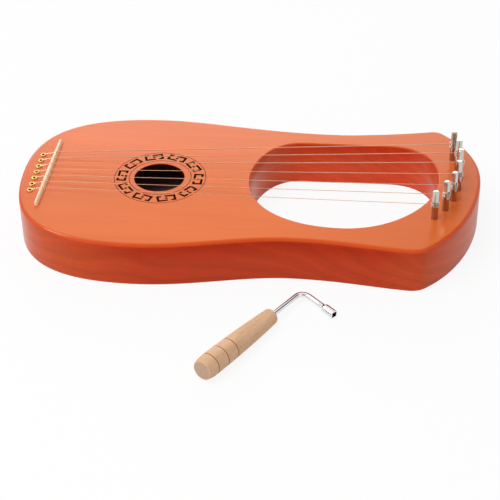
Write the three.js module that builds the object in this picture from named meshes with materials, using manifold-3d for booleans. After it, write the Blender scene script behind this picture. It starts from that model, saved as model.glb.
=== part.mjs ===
// A seven-string lyre harp with its tuning wrench. Millimetres, +Z up.
// The origin is on the underside, below the centre of the sound hole. +X runs to the head, where the
// tuning pins stand, and +Y to the side of the first string.
import * as THREE from 'three';
import { mergeVertices } from 'three/addons/utils/BufferGeometryUtils.js';
import Module from 'manifold-3d';

const wasm = await Module();
wasm.setup();

// Body: the lengths add up along X, the widths across Y and the thicknesses along Z
const soundboxLength = 184.8;
const openingLength = 150.4;
const headBand = 33.6;
const openingWidth = 119.6;
const armWidth = 17.4;
const boutFlare = 15;
const bodyThickness = 38;
const topPlateThickness = 4;
const backPlateThickness = 4;
const topEdgeRound = 3;
const bottomEdgeRound = 1.5;
const openingEdgeRound = 1.2;

// Sound chamber and sound hole
const holeFromTail = 112;
const holeRadius = 20;
const holeEdgeRound = 0.8;
const rimWall = 11;
const tailBlock = 19;
const openingWall = 12;
const braceWidth = 7;
const braceHeight = 8;

// Strings, from the first at +Y to the last at -Y, and what anchors them at the tail
const stringGauges = [0.56, 0.53, 0.5, 0.47, 0.44, 0.41, 0.38];
const stringSpacing = 8.75;
const ferruleFromTail = 11.8;
const ferruleRadius = 2.6;
const ferruleHeight = 0.8;
const ferruleStemRadius = 1.9;
const ferruleStemDepth = 3.4;
const ferruleBoreRadius = 1.1;
const stringBoreRadius = 1;
const ballEndRadius = 1.7;
const ballEndLength = 3.2;
const ballEndBoreRadius = 0.6;
const recessClearance = 0.8;
const pressClearance = 0.12;

// Bridge: its end at +Y stands farther from the tail than its end at -Y, by the skew
const bridgeFromTail = 21.8;
const bridgeSkew = 1.5;
const bridgeLength = 95.4;
const bridgeWidth = 4.2;
const bridgeHeight = 3.9;
const notchDepth = 0.7;
const notchRadius = 0.6;

// Tuning pins on an arc round the hand opening, and how far each one stands above the lowest
const pinLifts = [1.7, 2.7, 3.3, 2, 0.8, 1.2, 0];
const pinRadius = 2.5;
const pinExposed = 24.4;
const pinInWood = 17;
const pinSetback = 16.2;
const pinArcShift = 15.5;
const pinFirstDegrees = 18.1;
const pinStepDegrees = 9.5;
const pinFlatsLength = 9.2;
const pinFlatsWidth = 3.9;
const pinFlatsTaper = 0.15;
const pinEndChamfer = 0.6;
const pinHoleRadius = 0.8;
const pinClearance = 0.1;
const pinBoreSpare = 2;

// Windings: the wire leaves each pin at its topmost turn, just below the flats, and ends in the pin's hole
// below
const windingStart = 14.7;
const windingTurns = [3.85, 4.1, 3.95, 3.75, 4.05, 3.9, 3.8];
const windingGap = 0.6;
const windingSeat = 0.12;
const windingTuck = 0.7;
const windingTailEnd = 1;
const runningGap = 0.3;
const seatGap = 0.3;

// Tuning wrench, lying in front of the body
const wrenchX = 56.9;
const wrenchY = -200.9;
const wrenchDegrees = 57.6;
const handleLength = 81.6;
const handleRadius = 8.7;
const handleButtRadius = 7.4;
const handleNoseRadius = 6.15;
const handleButtRound = 1;
const handleNoseRound = 1.6;
const handleSwell = 7.5;
const handleRest = 45;
const grooveCount = 3;
const grooveStart = 9.2;
const grooveStep = 11.2;
const grooveWidth = 0.8;
const grooveDepth = 0.35;
const rodRadius = 2.15;
const rodInHandle = 28;
const rodReach = 38.6;
const rodArm = 34.6;
const rodBendRadius = 6.5;
const rodBendDegrees = 100.6;
const socketRadius = 3.4;
const socketLength = 12;
const socketFlare = 2.8;
const socketDepth = 9;
const socketEdge = 0.4;
const socketPlay = 0.3;

// Facets of the round forms
const overrun = 2;
const roundSteps = 3;
const holeSides = 40;
const pinSides = 16;
const smallSides = 14;
const wireHoleSides = 8;
const wireSides = 6;
const turnSteps = 16;
const tuckSteps = 5;
const braceSteps = 4;
const bridgeSides = 10;
const bridgeEndSteps = 5;
const handleSides = 24;
const barrelSteps = 5;
const rodSides = 16;
const bendSteps = 8;

// Places worked out from the sizes above
const halfWaist = openingWidth / 2 + armWidth;
const bodyLength = soundboxLength + openingLength + headBand;
const tailX = -holeFromTail;
const openingX = tailX + soundboxLength;
const openingMiddleX = openingX + openingLength / 2;
const topZ = bodyThickness;
const frameTopZ = bodyThickness - topPlateThickness;
const ferruleX = tailX + ferruleFromTail;
const bridgeX = tailX + bridgeFromTail;
const braceTailX = (tailX + tailBlock - holeRadius) / 2;
const braceHeadX = (holeRadius + openingX - openingWall) / 2;
const bridgeTopZ = topZ + bridgeHeight;
const pinArcRadius = openingLength / 2 + pinSetback;
const stringCount = stringGauges.length;
const rodBend = THREE.MathUtils.degToRad(rodBendDegrees);
const rodBendCut = rodBendRadius * Math.tan(rodBend / 2);
const tau = 2 * Math.PI;

// Body outline from above, anticlockwise from the middle of the tail, as Bezier curves. Each point is its
// share of the body's length, of half the waist and of the bout's flare. The head leans to +Y.
const tailShares = [0, 0.07, 0.07];
const outlineShares = [
  [16, [0, 0.72, 0.72], [0.095, 1, 0.92], [0.29, 1, 0.92]],
  [7, [0.388, 1, 0.92], [0.519, 1, 0], [0.677, 1, 0]],
  [5, [0.754, 1, 0], [0.851, 1, 0.45], [0.886, 1, 0.63]],
  [4, [0.898, 1, 0.7], [0.91, 1, 0.74], [0.919, 1, 0.54]],
  [8, [0.977, 0.72, 0.72], [1, 0.45, 0.45], [1, 0.22, 0.22]],
  [10, [1, -0.155, -0.155], [0.964, -0.615, -0.615], [0.885, -1, -0.34]],
  [4, [0.875, -1, -0.56], [0.862, -1, -0.65], [0.848, -1, -0.62]],
  [6, [0.773, -1, -0.475], [0.703, -1, -0.03], [0.603, -1, -0.03]],
  [7, [0.5, -1, -0.03], [0.402, -1, -1.09], [0.28, -1, -1.09]],
  [16, [0.06, -1, -1.09], [0, -0.615, -0.615], tailShares],
];

// Hand opening from above, clockwise from its near end: its share of the opening's length and half width
const openingStartShares = [0, 0.07];
const openingShares = [
  [10, [0, 0.47], [0.088, 1], [0.26, 1]],
  [2, [0.42, 1], [0.58, 1], [0.74, 1]],
  [8, [0.886, 1], [1, 0.77], [1, 0.22]],
  [12, [1, -0.3], [0.793, -1], [0.5, -1]],
  [12, [0.214, -1], [0, -0.6], openingStartShares],
];

function bodyPoint([along, waist, flare]) {
  return new THREE.Vector2(tailX + along * bodyLength, waist * halfWaist + flare * boutFlare);
}

function openingPoint([along, across]) {
  return new THREE.Vector2(openingX + along * openingLength, (across * openingWidth) / 2);
}

// Points along a closed chain of Bezier curves, always returned anticlockwise
function traceCurves(startShares, curveShares, place) {
  const points = [];
  let start = place(startShares);
  for (const [steps, ...shares] of curveShares) {
    const curve = new THREE.CubicBezierCurve(start, ...shares.map(place));
    points.push(...curve.getPoints(steps).slice(0, -1));
    start = curve.v3;
  }
  return THREE.ShapeUtils.area(points) < 0 ? points.reverse() : points;
}

function circle(radius, sides, x = 0, y = 0) {
  return Array.from({ length: sides }, (_, i) => {
    const angle = (tau * i) / sides;
    return new THREE.Vector2(x + radius * Math.cos(angle), y + radius * Math.sin(angle));
  });
}

// The same outline moved inwards by a distance, or outwards where it is negative
function inset(outline, distance) {
  return outline.map((point, i) => {
    const before = outline.at(i - 1);
    const after = outline[(i + 1) % outline.length];
    const along = after.clone().sub(before).normalize();
    return new THREE.Vector2(point.x - along.y * distance, point.y + along.x * distance);
  });
}

function closedGeometry(positions, faces) {
  const geometry = new THREE.BufferGeometry();
  geometry.setAttribute('position', new THREE.Float32BufferAttribute(positions, 3));
  geometry.setIndex(faces.flat());
  return geometry;
}

// A closed skin over rings of equally many points, with flat ends cut into the given triangles
function skin(rings, capFaces) {
  const count = rings[0].length;
  const positions = rings.flat().flatMap((point) => [point.x, point.y, point.z]);
  const faces = [];
  for (let ring = 0; ring < rings.length - 1; ring += 1) {
    for (let i = 0; i < count; i += 1) {
      const a = ring * count + i;
      const b = ring * count + ((i + 1) % count);
      faces.push([a, b, b + count], [a, b + count, a + count]);
    }
  }
  const last = (rings.length - 1) * count;
  for (const [a, b, c] of capFaces) {
    faces.push([c, b, a], [last + a, last + b, last + c]);
  }
  return closedGeometry(positions, faces);
}

function fanFaces(count) {
  return Array.from({ length: count - 2 }, (_, i) => [0, i + 1, i + 2]);
}

// Levels of a wall that is rounded at its lower and upper edge: [inset, height]
function wallLevels(low, high, lowRound, highRound) {
  const levels = [];
  for (let step = 0; step <= roundSteps && lowRound > 0; step += 1) {
    const angle = (Math.PI / 2) * (step / roundSteps);
    levels.push([lowRound * (1 - Math.sin(angle)), low + lowRound * (1 - Math.cos(angle))]);
  }
  if (lowRound === 0) levels.push([0, low]);
  if (highRound === 0) levels.push([0, high]);
  for (let step = 0; step <= roundSteps && highRound > 0; step += 1) {
    const angle = (Math.PI / 2) * (step / roundSteps);
    levels.push([highRound * (1 - Math.cos(angle)), high - highRound * (1 - Math.sin(angle))]);
  }
  return levels;
}

// A plate with this outline
function plate(outline, low, high, lowRound = 0, highRound = 0) {
  const capFaces = THREE.ShapeUtils.triangulateShape(outline, []);
  const rings = wallLevels(low, high, lowRound, highRound).map(([depth, z]) =>
    inset(outline, depth).map((point) => new THREE.Vector3(point.x, point.y, z)));
  return toSolid(skin(rings, capFaces));
}

// What is taken out of a plate for an opening whose edges are rounded: it flares where they are
function opening(outline, low, high, lowRound = 0, highRound = 0) {
  const levels = wallLevels(low, high, lowRound, highRound).map(([depth, z]) => [-depth, z]);
  levels.unshift([levels[0][0], low - overrun]);
  levels.push([levels.at(-1)[0], high + overrun]);
  const rings = levels.map(([depth, z]) =>
    inset(outline, depth).map((point) => new THREE.Vector3(point.x, point.y, z)));
  return toSolid(skin(rings, THREE.ShapeUtils.triangulateShape(outline, [])));
}

function toSolid(geometry) {
  const bare = geometry.clone();
  bare.deleteAttribute('normal');
  bare.deleteAttribute('uv');
  const merged = mergeVertices(bare);
  return new wasm.Manifold(new wasm.Mesh({
    numProp: 3,
    vertProperties: new Float32Array(merged.attributes.position.array),
    triVerts: new Uint32Array(merged.index.array),
  }));
}

function toGeometry(solid) {
  const mesh = solid.getMesh();
  const geometry = new THREE.BufferGeometry();
  geometry.setAttribute('position', new THREE.BufferAttribute(mesh.vertProperties, 3));
  geometry.setIndex(new THREE.BufferAttribute(mesh.triVerts, 1));
  return geometry;
}

// A solid turned about the Z axis from a profile of [radius, height]
function turned(profile, sides) {
  const points = profile.map(([radius, z]) => new THREE.Vector2(radius, z));
  return new THREE.LatheGeometry(points, sides).rotateX(Math.PI / 2);
}

function rod(radius, low, high, sides, x = 0, y = 0) {
  const profile = [[0, low], [radius, low], [radius, high], [0, high]];
  return toSolid(turned(profile, sides).translate(x, y, 0));
}

// An unbroken round tube along points, whose rings follow the path without twisting
function tube(path, radius, sides) {
  const tangents = path.map((_, i) => {
    const before = path[Math.max(i - 1, 0)];
    const after = path[Math.min(i + 1, path.length - 1)];
    return after.clone().sub(before).normalize();
  });
  const firstNormal = new THREE.Vector3(-tangents[0].y, tangents[0].x, 0);
  if (firstNormal.lengthSq() === 0) firstNormal.set(0, 1, 0);
  let normal = firstNormal.normalize();
  const rings = path.map((point, i) => {
    normal = normal.clone().addScaledVector(tangents[i], -normal.dot(tangents[i])).normalize();
    const side = tangents[i].clone().cross(normal);
    return Array.from({ length: sides }, (_, k) => {
      const angle = (tau * k) / sides;
      return point.clone().addScaledVector(normal, radius * Math.cos(angle))
        .addScaledVector(side, radius * Math.sin(angle));
    });
  });
  return skin(rings, fanFaces(sides));
}

// Materials, one for each mesh
const finishes = {
  topWood: [0xe08a5c, 0.38, 0],
  frameWood: [0xb4461f, 0.34, 0],
  backWood: [0xb4461f, 0.36, 0],
  braceWood: [0xd9b382, 0.8, 0],
  bone: [0xf1d3a6, 0.45, 0],
  brass: [0xc89a4f, 0.3, 1],
  steel: [0xc9c6c0, 0.25, 1],
  nickel: [0xd0cdc6, 0.18, 1],
  beech: [0xd4a578, 0.6, 0],
  chrome: [0xdfe1e3, 0.1, 1],
};

function addPiece(parent, name, geometry, finish) {
  const [color, roughness, metalness] = finishes[finish];
  const mesh = new THREE.Mesh(geometry, new THREE.MeshStandardMaterial({ color, roughness, metalness }));
  mesh.name = name;
  parent.add(mesh);
  return mesh;
}

// Where each string runs: across the slanting bridge and to its pin
function bridgeXAt(y) {
  return bridgeX + (bridgeSkew * y) / bridgeLength;
}

function stringY(index) {
  return ((stringCount - 1) / 2 - index) * stringSpacing;
}

function pinPlace(index) {
  const angle = THREE.MathUtils.degToRad(pinFirstDegrees - index * pinStepDegrees);
  return new THREE.Vector2(
    openingMiddleX + pinArcRadius * Math.cos(angle),
    pinArcShift + pinArcRadius * Math.sin(angle),
  );
}

function windingRadius(index) {
  return pinRadius + windingSeat + stringGauges[index] / 2;
}

function notchHeight(index) {
  return bridgeTopZ - notchDepth + seatGap + stringGauges[index] / 2;
}

// The direction from the pin's axis to where the straight string touches its winding, on the -Y side
function touchAngle(index) {
  const pin = pinPlace(index);
  const start = new THREE.Vector2(bridgeXAt(stringY(index)), stringY(index));
  const span = pin.clone().sub(start);
  const lean = Math.asin(windingRadius(index) / span.length());
  return span.angle() + lean - Math.PI / 2;
}

// Body
const outline = traceCurves(tailShares, outlineShares, bodyPoint);
const handOpening = traceCurves(openingStartShares, openingShares, openingPoint);
const pinBores = pinLifts.map((_, index) => pinPlace(index));
const stringPlaces = stringGauges.map((_, index) => new THREE.Vector2(ferruleX, stringY(index)));

function drill(solid, places, radius, low, high) {
  const drills = places.map((place) => rod(radius, low, high, smallSides, place.x, place.y));
  return drills.reduce((left, drillSolid) => left.subtract(drillSolid), solid);
}

function makeTopPlate() {
  const soundHole = circle(holeRadius, holeSides);
  let solid = plate(outline, frameTopZ, topZ, 0, topEdgeRound);
  solid = solid.subtract(opening(handOpening, frameTopZ, topZ, 0, openingEdgeRound));
  solid = solid.subtract(opening(soundHole, frameTopZ, topZ, 0, holeEdgeRound));
  const high = topZ + overrun;
  solid = drill(solid, pinBores, pinRadius + pinClearance, frameTopZ - overrun, high);
  return drill(solid, stringPlaces, ferruleStemRadius + pressClearance, frameTopZ - overrun, high);
}

// The hollow between the tail block, the rim and the wall at the hand opening
function chamberSolid(clearance) {
  const low = backPlateThickness - overrun;
  const high = frameTopZ + overrun;
  const rim = inset(outline, rimWall + clearance).filter((point) => point.x < openingMiddleX);
  const wall = plate(inset(handOpening, -(openingWall + clearance)), low - overrun, high + overrun);
  const chamberStart = tailX + tailBlock + clearance;
  const reach = new THREE.BoxGeometry(bodyLength, bodyLength, bodyThickness * 2);
  reach.translate(chamberStart + bodyLength / 2, 0, 0);
  return plate(rim, low, high).intersect(toSolid(reach)).subtract(wall);
}

function makeFrame() {
  let solid = plate(outline, backPlateThickness, frameTopZ);
  solid = solid.subtract(opening(handOpening, backPlateThickness, frameTopZ));
  solid = solid.subtract(chamberSolid(0));
  const pinFloor = topZ - pinInWood - pinBoreSpare;
  solid = drill(solid, pinBores, pinRadius + pinClearance, pinFloor, frameTopZ + overrun);
  return drill(solid, stringPlaces, stringBoreRadius, backPlateThickness - overrun, frameTopZ + overrun);
}

function makeBackPlate() {
  let solid = plate(outline, 0, backPlateThickness, bottomEdgeRound, 0);
  solid = solid.subtract(opening(handOpening, 0, backPlateThickness, openingEdgeRound, 0));
  const recessRadius = ballEndRadius + recessClearance;
  return drill(solid, stringPlaces, recessRadius, -overrun, backPlateThickness + overrun);
}

// A round-bottomed bar glued across the underside of the top plate, ending just short of the rim
function makeBrace(x) {
  const profile = new THREE.Shape();
  profile.moveTo(-braceWidth / 2, 0);
  profile.lineTo(-braceWidth / 2, braceHeight / 2);
  profile.quadraticCurveTo(-braceWidth / 2, braceHeight, 0, braceHeight);
  profile.quadraticCurveTo(braceWidth / 2, braceHeight, braceWidth / 2, braceHeight / 2);
  profile.lineTo(braceWidth / 2, 0);
  const span = 2 * (halfWaist + boutFlare);
  const settings = { depth: span, bevelEnabled: false, curveSegments: braceSteps };
  const bar = new THREE.ExtrudeGeometry(profile, settings);
  bar.translate(0, 0, -span / 2).rotateX(-Math.PI / 2).translate(x, 0, frameTopZ);
  return toSolid(bar).intersect(chamberSolid(seatGap));
}

// A half-round bar with rounded ends and a notch for each string
function makeBridge() {
  const endRound = bridgeWidth / 2;
  const stations = [];
  for (let step = 0; step < bridgeEndSteps; step += 1) {
    const angle = (Math.PI / 2) * (step / bridgeEndSteps);
    stations.push([bridgeLength / 2 - endRound + endRound * Math.sin(angle), Math.cos(angle)]);
  }
  const ends = [...stations].reverse().concat(stations.map(([y, scale]) => [-y, scale]));
  const rings = ends.map(([y, scale]) => Array.from({ length: bridgeSides + 1 }, (_, i) => {
    const angle = Math.PI * (i / bridgeSides);
    const x = (bridgeWidth / 2) * scale * Math.cos(angle);
    return new THREE.Vector3(bridgeXAt(y) + x, y, topZ + bridgeHeight * scale * Math.sin(angle));
  }));
  let solid = toSolid(skin(rings, fanFaces(bridgeSides + 1)));
  for (let index = 0; index < stringCount; index += 1) {
    const notch = turned([[0, -bridgeWidth], [notchRadius, -bridgeWidth], [notchRadius, bridgeWidth],
      [0, bridgeWidth]], smallSides);
    const y = stringY(index);
    notch.rotateY(Math.PI / 2).translate(bridgeXAt(y), y, bridgeTopZ - notchDepth + notchRadius);
    solid = solid.subtract(toSolid(notch));
  }
  return solid;
}

// A flanged brass bush pressed into the top plate
function makeFerrule(place) {
  const crown = (ferruleBoreRadius + ferruleRadius) / 2;
  const profile = [
    [ferruleBoreRadius, topZ - ferruleStemDepth],
    [ferruleStemRadius, topZ - ferruleStemDepth],
    [ferruleStemRadius, topZ],
    [ferruleRadius, topZ],
    [ferruleRadius, topZ + ferruleHeight / 2],
    [crown, topZ + ferruleHeight],
    [ferruleBoreRadius, topZ + ferruleHeight / 2],
    [ferruleBoreRadius, topZ - ferruleStemDepth],
  ];
  return turned(profile, smallSides).translate(place.x, place.y, 0);
}

// A brass spool that holds the end of the string in its recess, lying across the string
function makeBallEnd(place) {
  const waist = (ballEndRadius + ballEndBoreRadius) / 2;
  const half = ballEndLength / 2;
  const flange = half / 2;
  const profile = [
    [ballEndBoreRadius, -half],
    [ballEndRadius, -half],
    [ballEndRadius, -flange],
    [waist, 0],
    [ballEndRadius, flange],
    [ballEndRadius, half],
    [ballEndBoreRadius, half],
    [ballEndBoreRadius, -half],
  ];
  const centreZ = backPlateThickness - pressClearance - ballEndRadius;
  return turned(profile, smallSides).rotateX(Math.PI / 2).translate(place.x, place.y, centreZ);
}

// From the ball end up through the tail, over the ferrule and the bridge, and on towards the pin
function makeString(index) {
  const radius = stringGauges[index] / 2;
  const place = stringPlaces[index];
  const pin = pinPlace(index);
  const waist = (ballEndRadius + ballEndBoreRadius) / 2;
  const bottomZ = backPlateThickness - pressClearance - ballEndRadius + waist + seatGap;
  const lipZ = topZ + ferruleHeight;
  const notchZ = notchHeight(index);
  const crestX = bridgeXAt(place.y);
  const slope = (notchZ - lipZ) / (crestX - place.x);
  const angle = touchAngle(index);
  const touch = new THREE.Vector3(
    pin.x + windingRadius(index) * Math.cos(angle),
    pin.y + windingRadius(index) * Math.sin(angle),
    topZ + pinLifts[index] + windingStart,
  );
  const crest = new THREE.Vector3(crestX, place.y, notchZ);
  const way = touch.clone().sub(crest);
  const swept = windingRadius(index) + radius + runningGap;
  const inner = windingRadius(index) - radius;
  const stop = Math.sqrt(swept * swept - inner * inner);
  const end = touch.clone().addScaledVector(way.clone().normalize(), -stop);
  const bend = ferruleBoreRadius / 2;
  const path = [
    new THREE.Vector3(place.x, place.y, bottomZ),
    new THREE.Vector3(place.x, place.y, topZ - ferruleStemDepth),
    new THREE.Vector3(place.x, place.y, lipZ - bend),
    new THREE.Vector3(place.x + bend / 4, place.y, lipZ),
    new THREE.Vector3(place.x + bend, place.y, lipZ + bend),
    new THREE.Vector3(place.x + ferruleRadius, place.y, lipZ + bend + (ferruleRadius - bend) * slope),
    crest.clone().add(new THREE.Vector3(-bridgeWidth / 2, 0, (-slope * bridgeWidth) / 2)),
    crest,
    crest.clone().addScaledVector(way, bridgeWidth / way.length()),
    crest.clone().lerp(end, 1 / 2),
    end,
  ];
  return tube(path, radius, wireSides);
}

// A steel pin: round, with four tapered flats at its head and a hole for the wire
function makePin(index) {
  const place = pinPlace(index);
  const low = topZ + pinLifts[index] - pinInWood;
  const high = topZ + pinLifts[index] + pinExposed;
  const flatsZ = high - pinFlatsLength;
  const blank = toSolid(turned([
    [0, low],
    [pinRadius - pinEndChamfer, low],
    [pinRadius, low + pinEndChamfer],
    [pinRadius, high - pinEndChamfer],
    [pinRadius - pinEndChamfer, high],
    [0, high],
  ], pinSides));
  const halfLow = pinFlatsWidth / 2;
  const halfHigh = halfLow - pinFlatsTaper;
  const corners = [[1, 1], [-1, 1], [-1, -1], [1, -1]];
  const square = (half, z) => corners.map(([x, y]) => new THREE.Vector3(x * half, y * half, z));
  const flats = toSolid(skin([square(halfLow, flatsZ), square(halfHigh, high + overrun)], fanFaces(4)));
  const shank = rod(pinRadius + overrun, low - overrun, flatsZ, pinSides);
  const holeZ = windingEndZ(index);
  const wireHole = turned([[0, -pinRadius - overrun], [pinHoleRadius, -pinRadius - overrun],
    [pinHoleRadius, pinRadius + overrun], [0, pinRadius + overrun]], wireHoleSides);
  wireHole.rotateY(Math.PI / 2).translate(0, 0, holeZ);
  const solid = blank.intersect(flats.add(shank)).subtract(toSolid(wireHole));
  return toGeometry(solid).rotateZ(windingEndAngle(index)).translate(place.x, place.y, 0);
}

function windingPitch(index) {
  return stringGauges[index] + windingGap;
}

function windingEndAngle(index) {
  return touchAngle(index) + tau * windingTurns[index];
}

function windingEndZ(index) {
  return topZ + pinLifts[index] + windingStart - windingPitch(index) * windingTurns[index];
}

// The wire on a pin: a helix that falls anticlockwise and tucks into the pin's hole
function windingPath(index) {
  const place = pinPlace(index);
  const radius = windingRadius(index);
  const tuckAngle = Math.asin(windingTuck / (radius - windingTuck));
  const endAngle = windingEndAngle(index);
  const sweep = tau * windingTurns[index] - tuckAngle;
  const startZ = topZ + pinLifts[index] + windingStart;
  const fall = windingPitch(index) / tau;
  const steps = Math.round(turnSteps * (sweep / tau));
  const points = [];
  for (let step = 0; step <= steps; step += 1) {
    const turn = (sweep * step) / steps;
    const angle = touchAngle(index) + turn;
    points.push(new THREE.Vector3(
      place.x + radius * Math.cos(angle), place.y + radius * Math.sin(angle), startZ - fall * turn));
  }
  const endZ = windingEndZ(index);
  const centre = new THREE.Vector2(radius - windingTuck, 0);
  centre.rotateAround(new THREE.Vector2(), endAngle - tuckAngle);
  for (let step = 1; step <= tuckSteps; step += 1) {
    const share = step / tuckSteps;
    const angle = endAngle - tuckAngle + share * (tuckAngle + Math.PI / 2);
    points.push(new THREE.Vector3(
      place.x + centre.x + windingTuck * Math.cos(angle),
      place.y + centre.y + windingTuck * Math.sin(angle),
      THREE.MathUtils.lerp(points[steps].z, endZ, share)));
  }
  points.push(new THREE.Vector3(
    place.x + windingTailEnd * Math.cos(endAngle), place.y + windingTailEnd * Math.sin(endAngle), endZ));
  return points;
}

// The least gap between turns of a winding: points a third of a turn apart or more along the wire
function leastGap(path, diameter) {
  let least = Infinity;
  for (let i = 0; i < path.length; i += 1) {
    for (let j = i + Math.round(turnSteps / 3); j < path.length; j += 1) {
      least = Math.min(least, path[i].distanceTo(path[j]) - diameter);
    }
  }
  return least;
}

// Wrench parts, modelled along +X from the butt of the handle and bent towards -Y. The handle is a barrel,
// widest at its swell and drawn in along a curve to both ends.
function handleRadiusAt(along) {
  const end = along < handleSwell ? handleButtRadius : handleNoseRadius;
  const span = along < handleSwell ? handleSwell : handleLength - handleSwell;
  return handleRadius - (handleRadius - end) * ((along - handleSwell) / span) ** 2;
}

// The handle's outline from the middle of its butt to its nose: [radius, distance from the butt]
function handleProfile() {
  const profile = [[0, 0]];
  for (let step = 0; step < roundSteps; step += 1) {
    const angle = (Math.PI / 2) * (step / roundSteps);
    const inwards = handleButtRound * (1 - Math.sin(angle));
    profile.push([handleRadiusAt(handleButtRound) - inwards, handleButtRound * (1 - Math.cos(angle))]);
  }
  for (let step = 0; step <= roundSteps; step += 1) {
    const along = THREE.MathUtils.lerp(handleButtRound, handleSwell, step / roundSteps);
    profile.push([handleRadiusAt(along), along]);
  }
  for (let groove = 0; groove < grooveCount; groove += 1) {
    const middle = grooveStart + groove * grooveStep;
    const before = middle - grooveWidth / 2;
    const after = middle + grooveWidth / 2;
    profile.push([handleRadiusAt(before), before]);
    profile.push([handleRadiusAt(middle) - grooveDepth, middle]);
    profile.push([handleRadiusAt(after), after]);
  }
  const grooveEnd = profile.at(-1)[1];
  const noseStart = handleLength - handleNoseRound;
  for (let step = 1; step <= barrelSteps; step += 1) {
    const along = THREE.MathUtils.lerp(grooveEnd, noseStart, step / barrelSteps);
    profile.push([handleRadiusAt(along), along]);
  }
  for (let step = 1; step <= roundSteps; step += 1) {
    const angle = (Math.PI / 2) * (step / roundSteps);
    const inwards = handleNoseRound * (1 - Math.cos(angle));
    profile.push([handleRadiusAt(noseStart) - inwards, noseStart + handleNoseRound * Math.sin(angle)]);
  }
  profile.push([0, handleLength]);
  return profile;
}

function makeHandle() {
  const bore = rod(rodRadius + pressClearance, handleLength - rodInHandle, handleLength + overrun, rodSides);
  const solid = toSolid(turned(handleProfile(), handleSides)).subtract(bore);
  return toGeometry(solid).rotateY(Math.PI / 2);
}

function keyWay() {
  return new THREE.Vector3(Math.cos(rodBend), -Math.sin(rodBend), 0);
}

function keyTip() {
  return new THREE.Vector3(handleLength + rodReach, 0, 0).addScaledVector(keyWay(), rodArm);
}

function makeKey() {
  const bendStart = handleLength + rodReach - rodBendCut;
  const path = [new THREE.Vector3(handleLength - rodInHandle + seatGap, 0, 0)];
  for (let step = 0; step <= bendSteps; step += 1) {
    const angle = rodBend * (step / bendSteps);
    path.push(new THREE.Vector3(
      bendStart + rodBendRadius * Math.sin(angle), -rodBendRadius * (1 - Math.cos(angle)), 0));
  }
  const socketStart = keyTip().addScaledVector(keyWay(), socketFlare - socketLength);
  path.push(socketStart);
  const shaft = toSolid(tube(path, rodRadius, rodSides));
  const sleeve = turned([
    [0, -socketFlare],
    [rodRadius, -socketFlare],
    [socketRadius, 0],
    [socketRadius, socketLength - socketFlare - socketEdge],
    [socketRadius - socketEdge, socketLength - socketFlare],
    [0, socketLength - socketFlare],
  ], rodSides);
  const across = pinFlatsWidth + socketPlay;
  const square = new THREE.BoxGeometry(across, across, socketDepth + overrun);
  square.translate(0, 0, socketLength - socketFlare - socketDepth + (socketDepth + overrun) / 2);
  const socket = toSolid(sleeve).subtract(toSolid(square));
  const placed = toGeometry(socket).rotateY(Math.PI / 2).rotateZ(-rodBend);
  placed.translate(socketStart.x, socketStart.y, 0);
  const squareWay = square.rotateY(Math.PI / 2).rotateZ(-rodBend);
  squareWay.translate(socketStart.x, socketStart.y, 0);
  return toGeometry(shaft.add(toSolid(placed)).subtract(toSolid(squareWay)));
}

// The assembly
const lyreHarp = new THREE.Group();
const body = new THREE.Group();
lyreHarp.add(body);
addPiece(body, 'top_plate', toGeometry(makeTopPlate()), 'topWood');
addPiece(body, 'body_frame', toGeometry(makeFrame()), 'frameWood');
addPiece(body, 'back_plate', toGeometry(makeBackPlate()), 'backWood');
addPiece(body, 'brace_tail', toGeometry(makeBrace(braceTailX)), 'braceWood');
addPiece(body, 'brace_head', toGeometry(makeBrace(braceHeadX)), 'braceWood');
addPiece(body, 'bridge', toGeometry(makeBridge()), 'bone');

const stringing = new THREE.Group();
lyreHarp.add(stringing);
let tightest = Infinity;
for (let index = 0; index < stringCount; index += 1) {
  const number = index + 1;
  const wirePath = windingPath(index);
  tightest = Math.min(tightest, leastGap(wirePath, stringGauges[index]));
  addPiece(stringing, `ferrule_${number}`, makeFerrule(stringPlaces[index]), 'brass');
  addPiece(stringing, `ball_end_${number}`, makeBallEnd(stringPlaces[index]), 'brass');
  addPiece(stringing, `string_${number}`, makeString(index), 'steel');
  addPiece(stringing, `tuning_pin_${number}`, makePin(index), 'nickel');
  addPiece(stringing, `winding_${number}`, tube(wirePath, stringGauges[index] / 2, wireSides), 'steel');
}
console.log(`least gap between turns of a winding: ${tightest.toFixed(3)} mm`);

// The wrench lies on the curve of its handle, so its axis dips towards the nose, and the key is rolled in
// the handle until its socket touches the floor too
const wrench = new THREE.Group();
const restSlope = (handleRest - handleSwell) / (handleLength - handleSwell) ** 2;
const wrenchDip = Math.atan(2 * (handleRadius - handleNoseRadius) * restSlope);
const wrenchZ = Math.max(...handleProfile().map(([radius, along]) =>
  radius * Math.cos(wrenchDip) + along * Math.sin(wrenchDip)));
wrench.position.set(wrenchX, wrenchY, wrenchZ);
wrench.rotation.set(0, wrenchDip, THREE.MathUtils.degToRad(wrenchDegrees), 'ZYX');
lyreHarp.add(wrench);
addPiece(wrench, 'wrench_handle', makeHandle(), 'beech');
const key = addPiece(wrench, 'wrench_key', makeKey(), 'chrome');
const tip = keyTip();
const tipHeight = wrenchZ - tip.x * Math.sin(wrenchDip) - socketRadius;
key.rotation.x = Math.asin(tipHeight / (-tip.y * Math.cos(wrenchDip)));

export default lyreHarp;
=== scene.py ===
# Dresses a seven-string lyre harp and its tuning wrench: a lacquered body with a burnt key-pattern rosette,
# a bone bridge, brass ferrules, steel strings wound on nickelled pins, and a wrench with a beech handle.
import math
from contextlib import contextmanager

import bpy
from bpy.props import FloatProperty, FloatVectorProperty, IntProperty, PointerProperty
from mathutils import Matrix, Vector
from mathutils.geometry import interpolate_bezier


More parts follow.
